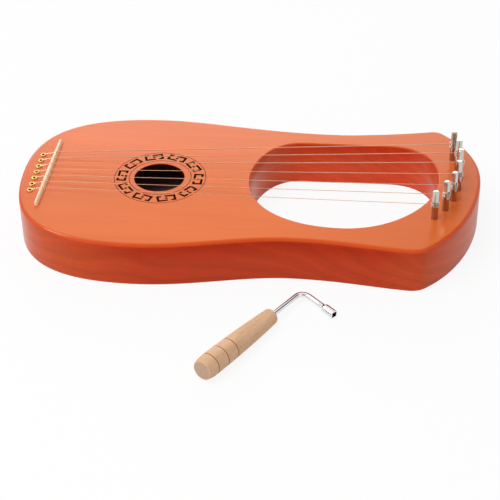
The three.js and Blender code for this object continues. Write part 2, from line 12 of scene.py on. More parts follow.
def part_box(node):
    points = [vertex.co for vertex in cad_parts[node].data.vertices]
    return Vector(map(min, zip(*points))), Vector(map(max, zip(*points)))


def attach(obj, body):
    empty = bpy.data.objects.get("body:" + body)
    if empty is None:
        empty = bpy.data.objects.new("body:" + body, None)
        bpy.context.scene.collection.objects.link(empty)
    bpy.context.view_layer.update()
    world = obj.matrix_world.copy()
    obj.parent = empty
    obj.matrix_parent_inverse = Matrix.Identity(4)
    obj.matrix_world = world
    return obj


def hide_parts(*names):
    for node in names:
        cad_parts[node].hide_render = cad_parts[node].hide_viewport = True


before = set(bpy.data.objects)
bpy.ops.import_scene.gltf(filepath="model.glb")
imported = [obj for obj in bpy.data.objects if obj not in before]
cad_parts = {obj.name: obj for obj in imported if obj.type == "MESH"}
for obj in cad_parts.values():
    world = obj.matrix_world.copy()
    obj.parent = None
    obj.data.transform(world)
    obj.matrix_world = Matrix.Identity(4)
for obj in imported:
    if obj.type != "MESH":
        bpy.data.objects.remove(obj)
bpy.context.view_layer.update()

bl_info = {
    "name": "Lyre Harp",
    "version": (1, 0, 0),
    "blender": (4, 5, 0),
    "location": "View3D > Sidebar > Lyre Harp",
    "description": "Builds a seven-string lyre harp with its tuning wrench",
    "category": "Object",
}

# Places read from the frame
TOP_LOW, TOP_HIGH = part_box("top_plate")
FRAME_LOW, FRAME_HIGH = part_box("body_frame")
BACK_LOW, BACK_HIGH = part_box("back_plate")
BRIDGE_LOW, BRIDGE_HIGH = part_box("bridge")
BODY_LENGTH = TOP_HIGH.x - TOP_LOW.x
TOP_Z = TOP_HIGH.z
STRINGS = range(1, 8)
MM = 0.001

# How far a point may lie off a plane that it counts as being on, and how near two points are merged
FLAT = MM / 100
WELD = MM / 1000

# Body outline from above as Bezier curves: points on each, then shares of the body's length, of half the
# waist and of the bout's flare
TAIL_SHARES = (0, 0.07, 0.07)
OUTLINE_SHARES = (
    (44, (0, 0.72, 0.72), (0.095, 1, 0.92), (0.29, 1, 0.92)),
    (20, (0.388, 1, 0.92), (0.519, 1, 0), (0.677, 1, 0)),
    (14, (0.754, 1, 0), (0.851, 1, 0.45), (0.886, 1, 0.63)),
    (12, (0.898, 1, 0.7), (0.91, 1, 0.74), (0.919, 1, 0.54)),
    (24, (0.977, 0.72, 0.72), (1, 0.45, 0.45), (1, 0.22, 0.22)),
    (30, (1, -0.155, -0.155), (0.964, -0.615, -0.615), (0.885, -1, -0.34)),
    (12, (0.875, -1, -0.56), (0.862, -1, -0.65), (0.848, -1, -0.62)),
    (18, (0.773, -1, -0.475), (0.703, -1, -0.03), (0.603, -1, -0.03)),
    (20, (0.5, -1, -0.03), (0.402, -1, -1.09), (0.28, -1, -1.09)),
    (44, (0.06, -1, -1.09), (0, -0.615, -0.615), TAIL_SHARES),
)

# Hand opening from above: shares of its length and of half its width
OPENING_START_SHARES = (0, 0.07)
OPENING_SHARES = (
    (30, (0, 0.47), (0.088, 1), (0.26, 1)),
    (4, (0.42, 1), (0.58, 1), (0.74, 1)),
    (24, (0.886, 1), (1, 0.77), (1, 0.22)),
    (36, (1, -0.3), (0.793, -1), (0.5, -1)),
    (36, (0.214, -1), (0, -0.6), OPENING_START_SHARES),
)


# One short call for each kind of property
def length(name, description, default):
    return FloatProperty(name=name, description=description, default=default, unit="LENGTH")


def lengths(name, description, default):
    return FloatVectorProperty(name=name, description=description, default=default, size=len(default),
                               unit="LENGTH")


def angle(name, description, degrees):
    return FloatProperty(name=name, description=description, default=math.radians(degrees), subtype="ANGLE")


def color(name, description, default):
    return FloatVectorProperty(name=name, description=description, default=default, size=3, subtype="COLOR")


def number(name, description, default):
    return FloatProperty(name=name, description=description, default=default)


def numbers(name, description, default):
    return FloatVectorProperty(name=name, description=description, default=default, size=len(default))


def count(name, description, default):
    return IntProperty(name=name, description=description, default=default)


# Sizes and colours
class BodySizes(bpy.types.PropertyGroup):
    half_waist: length("Half waist", "Half the body's width at the waist", 0.0772)
    bout_flare: length("Bout flare", "How far each bout stands out past the waist", 0.015)
    opening_start: length("Opening start", "Distance from the sound hole's centre", 0.0728)
    opening_length: length("Opening length", "Length of the hand opening", 0.1504)
    opening_width: length("Opening width", "Width of the hand opening", 0.1196)
    hole_radius: length("Sound hole radius", "Radius of the sound hole", 0.02)
    top_round: length("Top edge round", "Radius of the body's upper edge", 0.003)
    bottom_round: length("Bottom edge round", "Radius of the body's lower edge", 0.0015)
    opening_round: length("Opening edge round", "Radius of the opening's edges", 0.0012)
    hole_round: length("Hole edge round", "Radius of the sound hole's edge", 0.0008)
    seam: length("Glue line", "Size of the fine step where two layers meet", 0.00012)
    rim_wall: length("Rim wall", "Thickness of the wall round the sound chamber", 0.011)
    tail_block: length("Tail block", "Length of the solid block at the tail", 0.019)
    opening_wall: length("Opening wall", "Wall between the chamber and the opening", 0.012)
    lacquer_top: color("Soundboard colour", "Lacquer on the soundboard", (0.73, 0.153, 0.03))
    # Painted shade: the soundboard's colour, deepened at its head and its tail for less light and sheen there
    soundboard_painted_shade: color("Head colour", "Deeper lacquer on the soundboard's head", (0.63, 0.12, 0.02))
    lacquer_edge: color("Edge colour", "Lacquer on the upper edge's round", (0.65, 0.076, 0.011))
    lacquer_side: color("Side colour", "Lacquer on the sides and back", (0.6, 0.051, 0.006))
    # Painted sheen: the sides lighter and more orange round both ends
    lacquer_ends_painted_sheen: color("End colour", "Lacquer on the sides round both ends", (0.7, 0.105, 0.021))
    # Painted light: the opening's wall, the same frame as the sides, lighter than the sides' lacquer
    lacquer_inner_painted_light: color("Inner colour", "Lacquer on the hand opening's wall", (0.76, 0.083, 0.019))
    # Painted sheen: the opening's wall lighter at its tight bends
    lacquer_bends_painted_sheen: color("Bend colour", "Lacquer on the opening wall's tight bends", (0.7, 0.13, 0.045))
    # Painted shade: the sides and the opening's wall turn darker and redder just under the soundboard
    painted_shade_under_top: numbers("Deepening",
                       "Shares of the sides' red, green and blue left just under the soundboard",
                       (0.86, 0.55, 0.4))
    sheen: number("Sheen", "How strongly the lacquer reflects", 0.18)
    dull_sheen: number("Dull sheen", "Its sheen just under the soundboard", 0.08)
    head_sheen: number("Head sheen", "Its sheen on the head's side", 0.02)


class RosetteSizes(bpy.types.PropertyGroup):
    units: count("Key motifs", "Key motifs round the sound hole", 10)
    middle_radius: length("Band radius", "Radius at the middle of the band", 0.0307)
    half_height: length("Half height", "From the band's middle to a stroke's middle", 0.00295)
    half_width: length("Half width", "From a motif's middle to its side stroke", 0.00668)
    short_arm: length("Short arm", "Length of a hook's short arm", 0.0021)
    stroke: length("Stroke", "Width of the burnt strokes", 0.0019)
    depth: length("Depth", "Depth of the burnt grooves", 0.0004)
    outer_ring: length("Outer ring", "Radius of the fine outer ring", 0.0367)
    inner_ring: length("Inner ring", "Radius of the fine inner ring", 0.0249)
    ring_width: length("Ring width", "Width of the fine rings", 0.0005)
    shift: length("Shift", "How far the rosette stands off the hole's centre", 0.0006)
    first_angle: angle("First angle", "Where the first motif stands", -1)


class StringSizes(bpy.types.PropertyGroup):
    gauges: lengths("Gauges", "Diameters from the first string to the last",
                    (0.00056, 0.00053, 0.0005, 0.00047, 0.00044, 0.00041, 0.00038))
    turns: numbers("Turns", "Turns of wire on each pin", (3.85, 4.1, 3.95, 3.75, 4.05, 3.9, 3.8))
    coil_gap: length("Coil gap", "Gap between turns", 0.0006)
    coil_seat: length("Coil seat", "Gap between the wire and its pin", 0.00012)
    tuck: length("Tuck", "Radius of the bend into the pin's hole", 0.0007)
    ferrule_bore: length("Ferrule bore", "Radius of a ferrule's bore", 0.0011)
    ferrule_stem: length("Ferrule stem", "Radius of a ferrule's stem", 0.0019)
    ferrule_hole: length("Ferrule hole", "Radius of the soundboard's hole for a ferrule", 0.00202)
    lip_round: length("Lip round", "Rounding of a ferrule's lip", 0.0004)
    ball_bore: length("Ball end bore", "Radius of a ball end's bore", 0.0006)
    ball_recess: length("Ball end recess", "Radius of the back plate's recess for a ball end", 0.0025)


class BridgeSizes(bpy.types.PropertyGroup):
    width: length("Bridge width", "Width of the bridge", 0.0042)
    skew: length("Skew", "How much nearer the tail its end at -Y stands", 0.0015)
    end_taper: number("End taper", "Share of its width that each end is narrower by", 0.25)
    notch_depth: length("Notch depth", "Depth of the bridge's notches", 0.0007)
    notch_radius: length("Notch radius", "Radius of the bridge's notches", 0.0006)


class PinSizes(bpy.types.PropertyGroup):
    radius: length("Pin radius", "Radius of a tuning pin", 0.0025)
    flats_length: length("Flats length", "Length of the square head", 0.0092)
    flats_width: length("Flats width", "Width of the head at its foot", 0.0041)
    flats_taper: length("Flats taper", "How much narrower each side is at the end", 0.00015)
    head_turns: numbers("Head turns", "How far each square head is turned",
                        tuple(math.radians(a) for a in (-30, 0, 25, 20, 40, 0, 15)))
    chamfer: length("End chamfer", "Chamfer of both ends", 0.0006)
    hole_radius: length("Wire hole", "Radius of the hole for the wire", 0.0006)


class WrenchSizes(bpy.types.PropertyGroup):
    place: lengths("Place", "Where the end of the handle lies", (0.0569, -0.2009))
    turn: angle("Turn", "Direction of the handle", 57.6)
    handle_length: length("Handle length", "Length of the handle", 0.0816)
    handle_radius: length("Handle radius", "Largest radius of the handle", 0.0087)
    butt_radius: length("Butt radius", "Radius of the handle's butt", 0.0074)
    nose_radius: length("Nose radius", "Radius of the handle's nose", 0.00615)
    butt_round: length("Butt round", "Eased edge of the butt", 0.001)
    nose_round: length("Nose round", "Rounding of the nose", 0.0016)
    swell: length("Swell", "From the butt to the widest place", 0.0075)
    rest: length("Rest", "From the butt to where the handle touches the floor", 0.045)
    grooves: count("Grooves", "Burnt grooves round the handle", 3)
    groove_start: length("Groove start", "From the butt to the first groove", 0.0092)
    groove_step: length("Groove step", "From one groove to the next", 0.0112)
    groove_width: length("Groove width", "Width of a groove", 0.0008)
    groove_depth: length("Groove depth", "Depth of a groove", 0.00035)
    rod_radius: length("Rod radius", "Radius of the steel rod", 0.00215)
    rod_in_handle: length("Rod in handle", "How deep the rod sits in the handle", 0.028)
    rod_reach: length("Rod reach", "From the nose to the bend", 0.0386)
    rod_arm: length("Rod arm", "From the bend to the socket's end", 0.0346)
    bend_radius: length("Bend radius", "Radius of the rod's bend", 0.0065)
    bend: angle("Bend", "Angle of the rod's bend", 100.6)
    socket_radius: length("Socket radius", "Outer radius of the socket", 0.0034)
    socket_length: length("Socket length", "Length of the socket", 0.012)
    socket_flare: length("Socket flare", "Length of the socket's flare", 0.0028)
    socket_depth: length("Socket depth", "Depth of the square hole", 0.009)
    socket_width: length("Socket width", "Width of the square hole", 0.0042)


class StageSizes(bpy.types.PropertyGroup):
    camera_place: lengths("Camera place", "Where the camera stands", (0.16754, -0.96691, 0.67363))
    camera_turn: FloatVectorProperty(name="Camera turn", description="How the camera is turned", size=3,
                                     default=tuple(math.radians(a) for a in (54.072, 0.674, 5.137)),
                                     subtype="EULER")
    focal_length: number("Focal length", "Focal length on a 36 mm sensor", 104.4)
    world_strength: number("World strength", "Light from all round", 0.5)
    key_power: number("Key power", "Power of the large soft light", 18.5)
    key_place: lengths("Key place", "Where the large soft light hangs", (-0.5, -0.5, 1.5))
    key_size: lengths("Key size", "Width and height of the large soft light", (1.4, 1.4))
    back_power: number("Back power", "Power of the low light behind", 14)
    back_place: lengths("Back place", "Where the low light behind stands", (-0.3, 1.9, 0.72))
    back_size: lengths("Back size", "Width and height of the low light behind", (1.7, 0.9))
    glint_power: number("Glint power", "Power of the small light at the tail", 12)
    glint_place: lengths("Glint place", "Where the small light at the tail hangs", (-0.95, -0.2, 1.15))
    glint_size: lengths("Glint size", "Width and height of the small light", (0.6, 0.35))
    flag_place: lengths("Flag place", "Where the dark flag stands", (1.4, 0.5, 1.2))
    flag_size: lengths("Flag size", "Width and height of the dark flag", (1.0, 0.8))
    front_place: lengths("Front flag place", "Where the dark flag at the front stands", (0.2, -2.2, 1.1))
    front_size: lengths("Front flag size", "Width and height of the flag at the front", (2.2, 1.6))
    floor_share: number("Floor white", "How white the camera sees the floor, its shadow aside", 0.88)


def sizes(group):
    return getattr(bpy.context.scene, group)


# Modelling helpers
def start_clean():
    bpy.ops.object.select_all(action="DESELECT")


def only(piece):
    start_clean()
    piece.select_set(True)
    bpy.context.view_layer.objects.active = piece
    return piece


@contextmanager
def editing(piece, kind="VERT"):
    only(piece)
    bpy.context.tool_settings.mesh_select_mode = (kind == "VERT", kind == "EDGE", kind == "FACE")
    bpy.ops.object.mode_set(mode="EDIT")
    yield piece
    bpy.ops.object.mode_set(mode="OBJECT")


def pick(piece, kind, wanted):
    """Selects the vertices, edges or faces whose points all pass a test."""
    mesh = piece.data
    for group in (mesh.vertices, mesh.edges, mesh.polygons):
        group.foreach_set("select", [False] * len(group))
    if kind == "VERT":
        chosen = [[v.index] for v in mesh.vertices]
        group = mesh.vertices
    else:
        group = mesh.edges if kind == "EDGE" else mesh.polygons
        chosen = [list(item.vertices) for item in group]
    for item, indices in zip(group, chosen):
        if all(wanted(mesh.vertices[i].co) for i in indices):
            item.select = True
            for i in indices:
                mesh.vertices[i].select = True


def settle(piece):
    only(piece)
    bpy.ops.object.transform_apply(location=True, rotation=True, scale=True)
    return piece


def duplicate(piece):
    only(piece)
    bpy.ops.object.duplicate()
    return bpy.context.active_object


def join(pieces):
    start_clean()
    for piece in pieces:
        piece.select_set(True)
    bpy.context.view_layer.objects.active = pieces[0]
    bpy.ops.object.join()
    return pieces[0]


def combine(piece, other, operation="DIFFERENCE"):
    only(piece)
    modifier = piece.modifiers.new("Combine", "BOOLEAN")
    modifier.operation = operation
    modifier.solver = "EXACT"
    modifier.material_mode = "TRANSFER"
    modifier.object = other
    bpy.ops.object.modifier_apply(modifier=modifier.name)
    bpy.data.objects.remove(other)
    return piece


def trace(start, curves, place):
    """Points along a closed chain of Bezier curves, anticlockwise."""
    points = []
    knot = place(start)
    for count, *shares in curves:
        first, second, end = (place(share) for share in shares)
        points += interpolate_bezier(knot, first, second, end, count + 1)[:-1]
        knot = end
    return points[::-1]


def face_out():
    """Turns every face of the piece being edited outwards."""
    bpy.ops.mesh.select_all(action="SELECT")
    bpy.ops.mesh.normals_make_consistent(inside=False)


def draw_loop(points):
    """A circle primitive whose vertices are moved to the points."""
    bpy.ops.mesh.primitive_circle_add(vertices=len(points), radius=MM, fill_type="NOTHING")
    loop = bpy.context.active_object
    for vertex, point in zip(loop.data.vertices, points):
        vertex.co = point
    return loop


def raise_plate(points, low, high):
    plate = draw_loop([(point[0], point[1], low) for point in points])
    with editing(plate):
        bpy.ops.mesh.select_all(action="SELECT")
        bpy.ops.mesh.edge_face_add()
        bpy.ops.mesh.extrude_region_move(TRANSFORM_OT_translate={"value": (0, 0, high - low)})
        face_out()
    return plate


def dress(piece, name):
    """Gives a piece its main material before it is cut, so that cuts keep it."""
    piece.data.materials.clear()
    piece.data.materials.append(material(name))
    return piece


def bevel(piece, wanted, size, segments):
    pick(piece, "EDGE", wanted)
    with editing(piece, "EDGE"):
        bpy.ops.mesh.bevel(offset=size, segments=segments, affect="EDGES", clamp_overlap=True)


def turn(profile, steps):
    """A solid turned about the Z axis from a closed profile of (radius, height)."""
    piece = draw_loop([(radius, 0, height) for radius, height in profile])
    with editing(piece):
        bpy.ops.mesh.select_all(action="SELECT")
        bpy.ops.mesh.spin(steps=steps, angle=math.tau, center=(0, 0, 0), axis=(0, 0, 1))
        bpy.ops.mesh.select_all(action="SELECT")
        bpy.ops.mesh.remove_doubles(threshold=WELD)
        bpy.ops.mesh.dissolve_degenerate(threshold=WELD)
        bpy.ops.mesh.delete_loose()
        face_out()
    return piece


def arc(centre, radius, start, end, steps):
    """Profile points along a round, with angles in degrees."""
    angles = [math.radians(start + (end - start) * i / steps) for i in range(steps + 1)]
    return [(centre[0] + radius * math.cos(a), centre[1] + radius * math.sin(a)) for a in angles]


def draw_wire(points, radius, resolution=3):
    """A round wire along points, as a mesh with closed ends."""
    curve = bpy.data.curves.new("wire", "CURVE")
    curve.dimensions = "3D"
    spline = curve.splines.new("POLY")
    spline.points.add(len(points) - 1)
    for place, point in zip(spline.points, points):
        place.co = (*point, 1)
    curve.bevel_depth = radius
    curve.bevel_resolution = resolution
    curve.use_fill_caps = True
    wire = bpy.data.objects.new("wire", curve)
    bpy.context.scene.collection.objects.link(wire)
    only(wire)
    bpy.ops.object.convert(target="MESH")
    wire = bpy.context.active_object
    with editing(wire):
        bpy.ops.mesh.select_all(action="SELECT")
        bpy.ops.mesh.remove_doubles(threshold=WELD)
        face_out()
    return wire


def finish_piece(piece, name, body, materials, replaced=(), angle=30, weighted=False):
    """Names a piece, smooths it and hands it to the frame."""
    settle(piece)
    piece.name = piece.data.name = name
    bpy.ops.object.shade_smooth_by_angle(angle=math.radians(angle))
    if weighted:
        modifier = piece.modifiers.new("Weighted Normal", "WEIGHTED_NORMAL")
        modifier.keep_sharp = True
        bpy.ops.object.modifier_apply(modifier=modifier.name)
    for wanted in map(material, materials):
        if wanted.name not in piece.data.materials:
            piece.data.materials.append(wanted)
    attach(piece, body)
    if replaced:
        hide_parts(*replaced)
    return piece


# Material helpers
class Finish:
    """A material with one Principled shader and short calls for its nodes."""

    def __init__(self, name, color, roughness, metallic=0.0):
        self.material = bpy.data.materials.new(name)
        self.material.use_nodes = True
        self.tree = self.material.node_tree
        self.shader = self.tree.nodes["Principled BSDF"]
        self.set("Base Color", (*color, 1))
        self.set("Roughness", roughness)
        self.set("Metallic", metallic)
        self.coordinates = self.add("ShaderNodeTexCoord").outputs["Object"]

    def add(self, kind, **options):
        node = self.tree.nodes.new(kind)
        for key, value in options.items():
            setattr(node, key, value)
        return node

    def set(self, socket, value):
        self.shader.inputs[socket].default_value = value

    def link(self, source, target):
        self.tree.links.new(source, target)

    def feed(self, source, socket):
        self.link(source, self.shader.inputs[socket])

    def mapped(self, scale, rotation=(0, 0, 0), source=None):
        node = self.add("ShaderNodeMapping")
        node.inputs["Scale"].default_value = scale
        node.inputs["Rotation"].default_value = rotation
        self.link(source or self.coordinates, node.inputs["Vector"])
        return node.outputs["Vector"]

    def noise(self, vector, detail=3.0, roughness=0.5, distortion=0.0):
        node = self.add("ShaderNodeTexNoise")
        self.link(vector, node.inputs["Vector"])
        node.inputs["Scale"].default_value = 1.0
        node.inputs["Detail"].default_value = detail
        node.inputs["Roughness"].default_value = roughness
        node.inputs["Distortion"].default_value = distortion
        return node.outputs["Fac"]

    def ramp(self, factor, *stops):
        """A colour ramp of (position, colour) or (position, grey) stops."""
        node = self.add("ShaderNodeValToRGB")
        elements = node.color_ramp.elements
        while len(elements) < len(stops):
            elements.new(0.5)
        for element, (position, color) in zip(elements, stops):
            element.position = position
            element.color = (*color, 1) if hasattr(color, "__len__") else (color, color, color, 1)
        self.link(factor, node.inputs["Fac"])
        return node.outputs["Color"]

    def mix(self, factor, first, second, blend="MIX"):
        node = self.add("ShaderNodeMix", data_type="RGBA", blend_type=blend)
        for value, socket in ((factor, node.inputs[0]), (first, node.inputs[6]), (second, node.inputs[7])):
            if isinstance(value, bpy.types.NodeSocket):
                self.link(value, socket)
            elif hasattr(value, "__len__"):
                socket.default_value = (*value, 1)
            else:
                socket.default_value = value
        return node.outputs[2]

    def math(self, operation, first, second=0.0, third=0.0):
        node = self.add("ShaderNodeMath", operation=operation)
        for value, socket in zip((first, second, third), node.inputs):
            if isinstance(value, bpy.types.NodeSocket):
                self.link(value, socket)
            else:
                socket.default_value = value
        return node.outputs[0]

    def bump(self, height, strength, distance):
        node = self.add("ShaderNodeBump")
        node.inputs["Strength"].default_value = strength
        node.inputs["Distance"].default_value = distance
        self.link(height, node.inputs["Height"])
        self.feed(node.outputs["Normal"], "Normal")


def shade(color, factor):
    return tuple(channel * factor for channel in color)


def lacquer(name, side, ends, spread, contrast):
    """Satin lacquer: orange over fine straight grain above, redder over flat-sawn grain on the sides.

    The spread says how much the ends' colour, a painted sheen, shows at places along the body. The sides also
    darken just under the soundboard, and the soundboard at its tail and head, as painted shade."""
    body = sizes("harp_body")
    top = tuple(body.lacquer_top)
    middle = (TOP_LOW.x + TOP_HIGH.x) / 2 / BODY_LENGTH
    finish = Finish(name, top, 0.22)
    broad = finish.noise(finish.mapped((4, 30, 30)), detail=3, distortion=0.4)
    fine = finish.noise(finish.mapped((14, 900, 900)), detail=4, roughness=0.6)
    tone = finish.ramp(broad, (0.3, shade(top, 0.92)), (0.65, shade(top, 1.04)))
    place = finish.add("ShaderNodeSeparateXYZ")
    finish.link(finish.coordinates, place.inputs[0])
    along = finish.math("MULTIPLY_ADD", place.outputs["X"], 1 / BODY_LENGTH, 0.5 - middle)
    # Painted shade: the soundboard darkens towards its tail and its head, for less light and sheen there
    painted_shade_share = finish.ramp(along, (0.0, 0.9), (0.09, 0.0), (0.55, 0.0), (0.98, 0.75))
    tone = finish.mix(painted_shade_share, tone, tuple(body.soundboard_painted_shade))
    above = finish.mix(0.5, tone, finish.ramp(fine, (0.3, 0.9), (0.6, 1.0)), "MULTIPLY")
    height = finish.math("MULTIPLY", place.outputs["Z"], 1 / TOP_Z)
    # Painted shade: the sides darken just under the soundboard
    deep = tuple(channel * share for channel, share in zip(side, body.painted_shade_under_top))
    # Painted sheen: lighter, more orange colour towards both ends
    at_ends = finish.ramp(along, *spread)
    tint = finish.mix(at_ends, finish.ramp(height, (0.1, side), (0.5, side), (0.93, deep)), ends)
    # Flat-sawn figure: arches along the body, stacked in height and made uneven by waves, with thin lines
    unevenness, arching, stacking, thin_rate = 18, 620, 450, 2.3
    waves = finish.math("MULTIPLY", finish.noise(finish.mapped((9, 6, 20)), detail=2), unevenness)
    arches = finish.math("MULTIPLY", finish.math("POWER", place.outputs["X"], 2), arching)
    phase = finish.math("ADD", arches, finish.math("MULTIPLY_ADD", place.outputs["Z"], stacking, waves))
    thin = finish.math("SINE", finish.math("MULTIPLY", phase, thin_rate))
    contours = finish.math("MULTIPLY_ADD", thin, 0.5, finish.math("SINE", phase))
    level = finish.math("MULTIPLY_ADD", contours, 0.33, 0.5)
    figure = finish.mix(0.7, tint, finish.ramp(level, (0.0, 1.0), (1.0, contrast)), "MULTIPLY")
    beside = finish.mix(0.6, figure, finish.ramp(fine, (0.3, 0.86), (0.6, 1.0)), "MULTIPLY")
    facing = finish.add("ShaderNodeSeparateXYZ")
    finish.link(finish.add("ShaderNodeNewGeometry").outputs["Normal"], facing.inputs[0])
    rising = finish.ramp(facing.outputs["Z"], (0.02, 0.0), (0.35, 1.0))
    upward = finish.ramp(facing.outputs["Z"], (0.85, 0.0), (0.999, 1.0))
    edge = finish.mix(rising, beside, tuple(body.lacquer_edge))
    finish.feed(finish.mix(upward, edge, above), "Base Color")
    finish.bump(fine, 0.08, 0.0001)
    under_top = finish.mix(at_ends, finish.ramp(height, (0.5, body.sheen), (0.93, body.dull_sheen)),
                           (body.sheen,) * 3)
    beside_sheen = finish.mix(finish.ramp(along, (0.93, 0.0), (0.99, 1.0)), under_top, (body.head_sheen,) * 3)
    finish.feed(finish.mix(rising, beside_sheen, (body.sheen,) * 3), "Specular IOR Level")
    return finish.material


def body_lacquer():
    body = sizes("harp_body")
    return lacquer("body_lacquer", tuple(body.lacquer_side), tuple(body.lacquer_ends_painted_sheen),
                   ((0.02, 1.0), (0.3, 0.0), (0.78, 0.0), (0.98, 1.0)), 0.78)


# Painted light: a lighter copy of the sides' lacquer for the hand opening's wall, with painted sheen at its
# bends
def inner_lacquer_painted_light():
    body = sizes("harp_body")
    return lacquer("inner_lacquer_painted_light", tuple(body.lacquer_inner_painted_light), tuple(body.lacquer_bends_painted_sheen),
                   ((0.5, 1.0), (0.6, 0.0), (0.84, 0.0), (0.91, 0.6)), 0.85)


def bare_wood(name, middle, roughness, scale, detail, dark, pale, specular):
    """Unlacquered wood between two colours, each at its place on a fine noise."""
    finish = Finish(name, middle, roughness)
    grain = finish.noise(finish.mapped(scale), detail=detail)
    finish.feed(finish.ramp(grain, dark, pale), "Base Color")
    finish.set("Specular IOR Level", specular)
    return finish.material


def burnt_wood():
    return bare_wood("burnt_wood", (0.03, 0.009, 0.005), 0.85, (900, 900, 900), 3,
                     (0.3, (0.018, 0.003, 0.0015)), (0.7, (0.04, 0.007, 0.003)), 0.0)


def chamber_wood_painted_shade():
    """Raw wood inside the sound chamber, made dark as painted shade."""
    return bare_wood("chamber_wood_painted_shade", (0.02, 0.008, 0.005), 0.9, (12, 300, 300), 4,
                     (0.3, (0.22, 0.085, 0.075)), (0.7, (0.39, 0.15, 0.135)), 0.2)


def bone():
    finish = Finish("polished_bone", (0.76, 0.46, 0.3), 0.32)
    clouds = finish.noise(finish.mapped((60, 25, 60)), detail=4)
    lines = finish.noise(finish.mapped((1500, 60, 1500)), detail=3)
    tone = finish.ramp(clouds, (0.3, (0.94, 0.65, 0.43)), (0.7, (0.97, 0.75, 0.53)))
    streaks = finish.ramp(lines, (0.35, 0.82), (0.6, 1.0))
    finish.feed(finish.mix(0.25, tone, streaks, "MULTIPLY"), "Base Color")
    finish.set("Specular IOR Level", 0.25)
    finish.set("Subsurface Weight", 0.1)
    finish.set("Subsurface Radius", (0.002, 0.001, 0.0006))
    return finish.material


def metal(name, color, roughness, variation=0.06, scale=300):
    finish = Finish(name, color, roughness, metallic=1.0)
    smudge = finish.noise(finish.mapped((scale, scale, scale)), detail=3)
    low, high = max(roughness - variation, 0.02), roughness + variation
    finish.feed(finish.ramp(smudge, (0.3, low), (0.7, high)), "Roughness")
    finish.feed(finish.ramp(smudge, (0.2, shade(color, 0.94)), (0.8, color)), "Base Color")
    return finish.material


def beech():
    """Pale turned beech with short flecks along the handle."""
    finish = Finish("beech", (0.76, 0.47, 0.28), 0.55)
    along = finish.mapped((1, 1, 1), rotation=(0, 0, -sizes("harp_wrench").turn))
    tone = finish.noise(finish.mapped((25, 160, 160), source=along), detail=3)
    fleck = finish.noise(finish.mapped((160, 1400, 1400), source=along), detail=2)
    color = finish.ramp(tone, (0.3, (0.65, 0.385, 0.22)), (0.7, (0.74, 0.465, 0.285)))
    finish.feed(finish.mix(0.4, color, finish.ramp(fleck, (0.34, 0.7), (0.5, 1.0)), "MULTIPLY"), "Base Color")
    finish.bump(fleck, 0.15, 0.0001)
    finish.set("Specular IOR Level", 0.3)
    return finish.material


def end_grain():
    """The beech handle's butt, a little darker, with fine pores."""
    return bare_wood("beech_end", (0.62, 0.37, 0.22), 0.6, (1500, 1500, 1500), 2,
                     (0.35, (0.48, 0.3, 0.2)), (0.55, (0.6, 0.39, 0.27)), 0.3)


def groove_wood():
    """Beech scorched to a light brown in the handle's grooves."""
    return Finish("scorched_beech", (0.32, 0.13, 0.05), 0.7).material


MATERIALS = {}


def material(name):
    """Makes each material once."""
    makers = {
        "body": body_lacquer,
        "inner": inner_lacquer_painted_light,
        "burnt": burnt_wood,
        "chamber": chamber_wood_painted_shade,
        "bone": bone,
        "beech": beech,
        "end": end_grain,
        "groove": groove_wood,
        "brass": lambda: metal("polished_brass", (0.58, 0.33, 0.11), 0.28),
        "steel": lambda: metal("string_steel", (0.7, 0.47, 0.3), 0.24, variation=0.02),
        "nickel": lambda: metal("nickel_plate", (0.6, 0.55, 0.5), 0.1),
        "coil": lambda: metal("winding_steel", (0.64, 0.56, 0.48), 0.16),
        # Painted shade: the pin's shaft, a darker and warmer copy of its nickel
        "shaft": lambda: metal("pin_shaft_painted_shade", (0.47, 0.39, 0.34), 0.1),
        "chrome": lambda: metal("chrome_plate", (0.8, 0.81, 0.83), 0.07),
    }
    if name not in MATERIALS:
        MATERIALS[name] = makers[name]()
    return MATERIALS[name]


# Body
def body_point(share):
    body = sizes("harp_body")
    along, waist, flare = share
    return Vector((TOP_LOW.x + along * BODY_LENGTH, waist * body.half_waist + flare * body.bout_flare))


def opening_point(share):
    body = sizes("harp_body")
    return Vector((body.opening_start + share[0] * body.opening_length, share[1] * body.opening_width / 2))


def body_outline():
    return trace(TAIL_SHARES, OUTLINE_SHARES, body_point)


def opening_outline():
    return trace(OPENING_START_SHARES, OPENING_SHARES, opening_point)


def inset(points, distance):
    moved = []
    for i, point in enumerate(points):
        along = (points[(i + 1) % len(points)] - points[i - 1]).normalized()
        moved.append(point + Vector((-along.y, along.x)) * distance)
    return moved


def raise_layer(low, high):
    return dress(raise_plate(body_outline(), low, high), "body")


def near_hole(point, radius, margin=1.5 * MM):
    return abs(math.hypot(point.x, point.y) - radius) < margin


def in_opening(point):
    """Whether a point is in or just beside the hand opening."""
    body = sizes("harp_body")
    margin = 2 * MM
    return (body.opening_start - margin < point.x < body.opening_start + body.opening_length + margin
            and abs(point.y) < body.opening_width / 2 + margin)


def cut_through(plate, points, low, high, name="inner"):
    return combine(plate, dress(raise_plate(points, low, high), name))


def ring_points(radius, count, x=0.0, y=0.0):
    return [Vector((x + radius * math.cos(math.tau * i / count), y + radius * math.sin(math.tau * i / count)))
            for i in range(count)]


def drill(plate, places, radius, low, high, sides=32):
    drills = [raise_plate(ring_points(radius, sides, x, y), low, high) for x, y in places]
    return combine(plate, join(drills))


def centre_of(node):
    low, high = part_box(node)
    return (low + high) / 2


def pin_places():
    return [centre_of(f"tuning_pin_{k}").xy for k in STRINGS]


def string_places():
    return [centre_of(f"ferrule_{k}").xy for k in STRINGS]


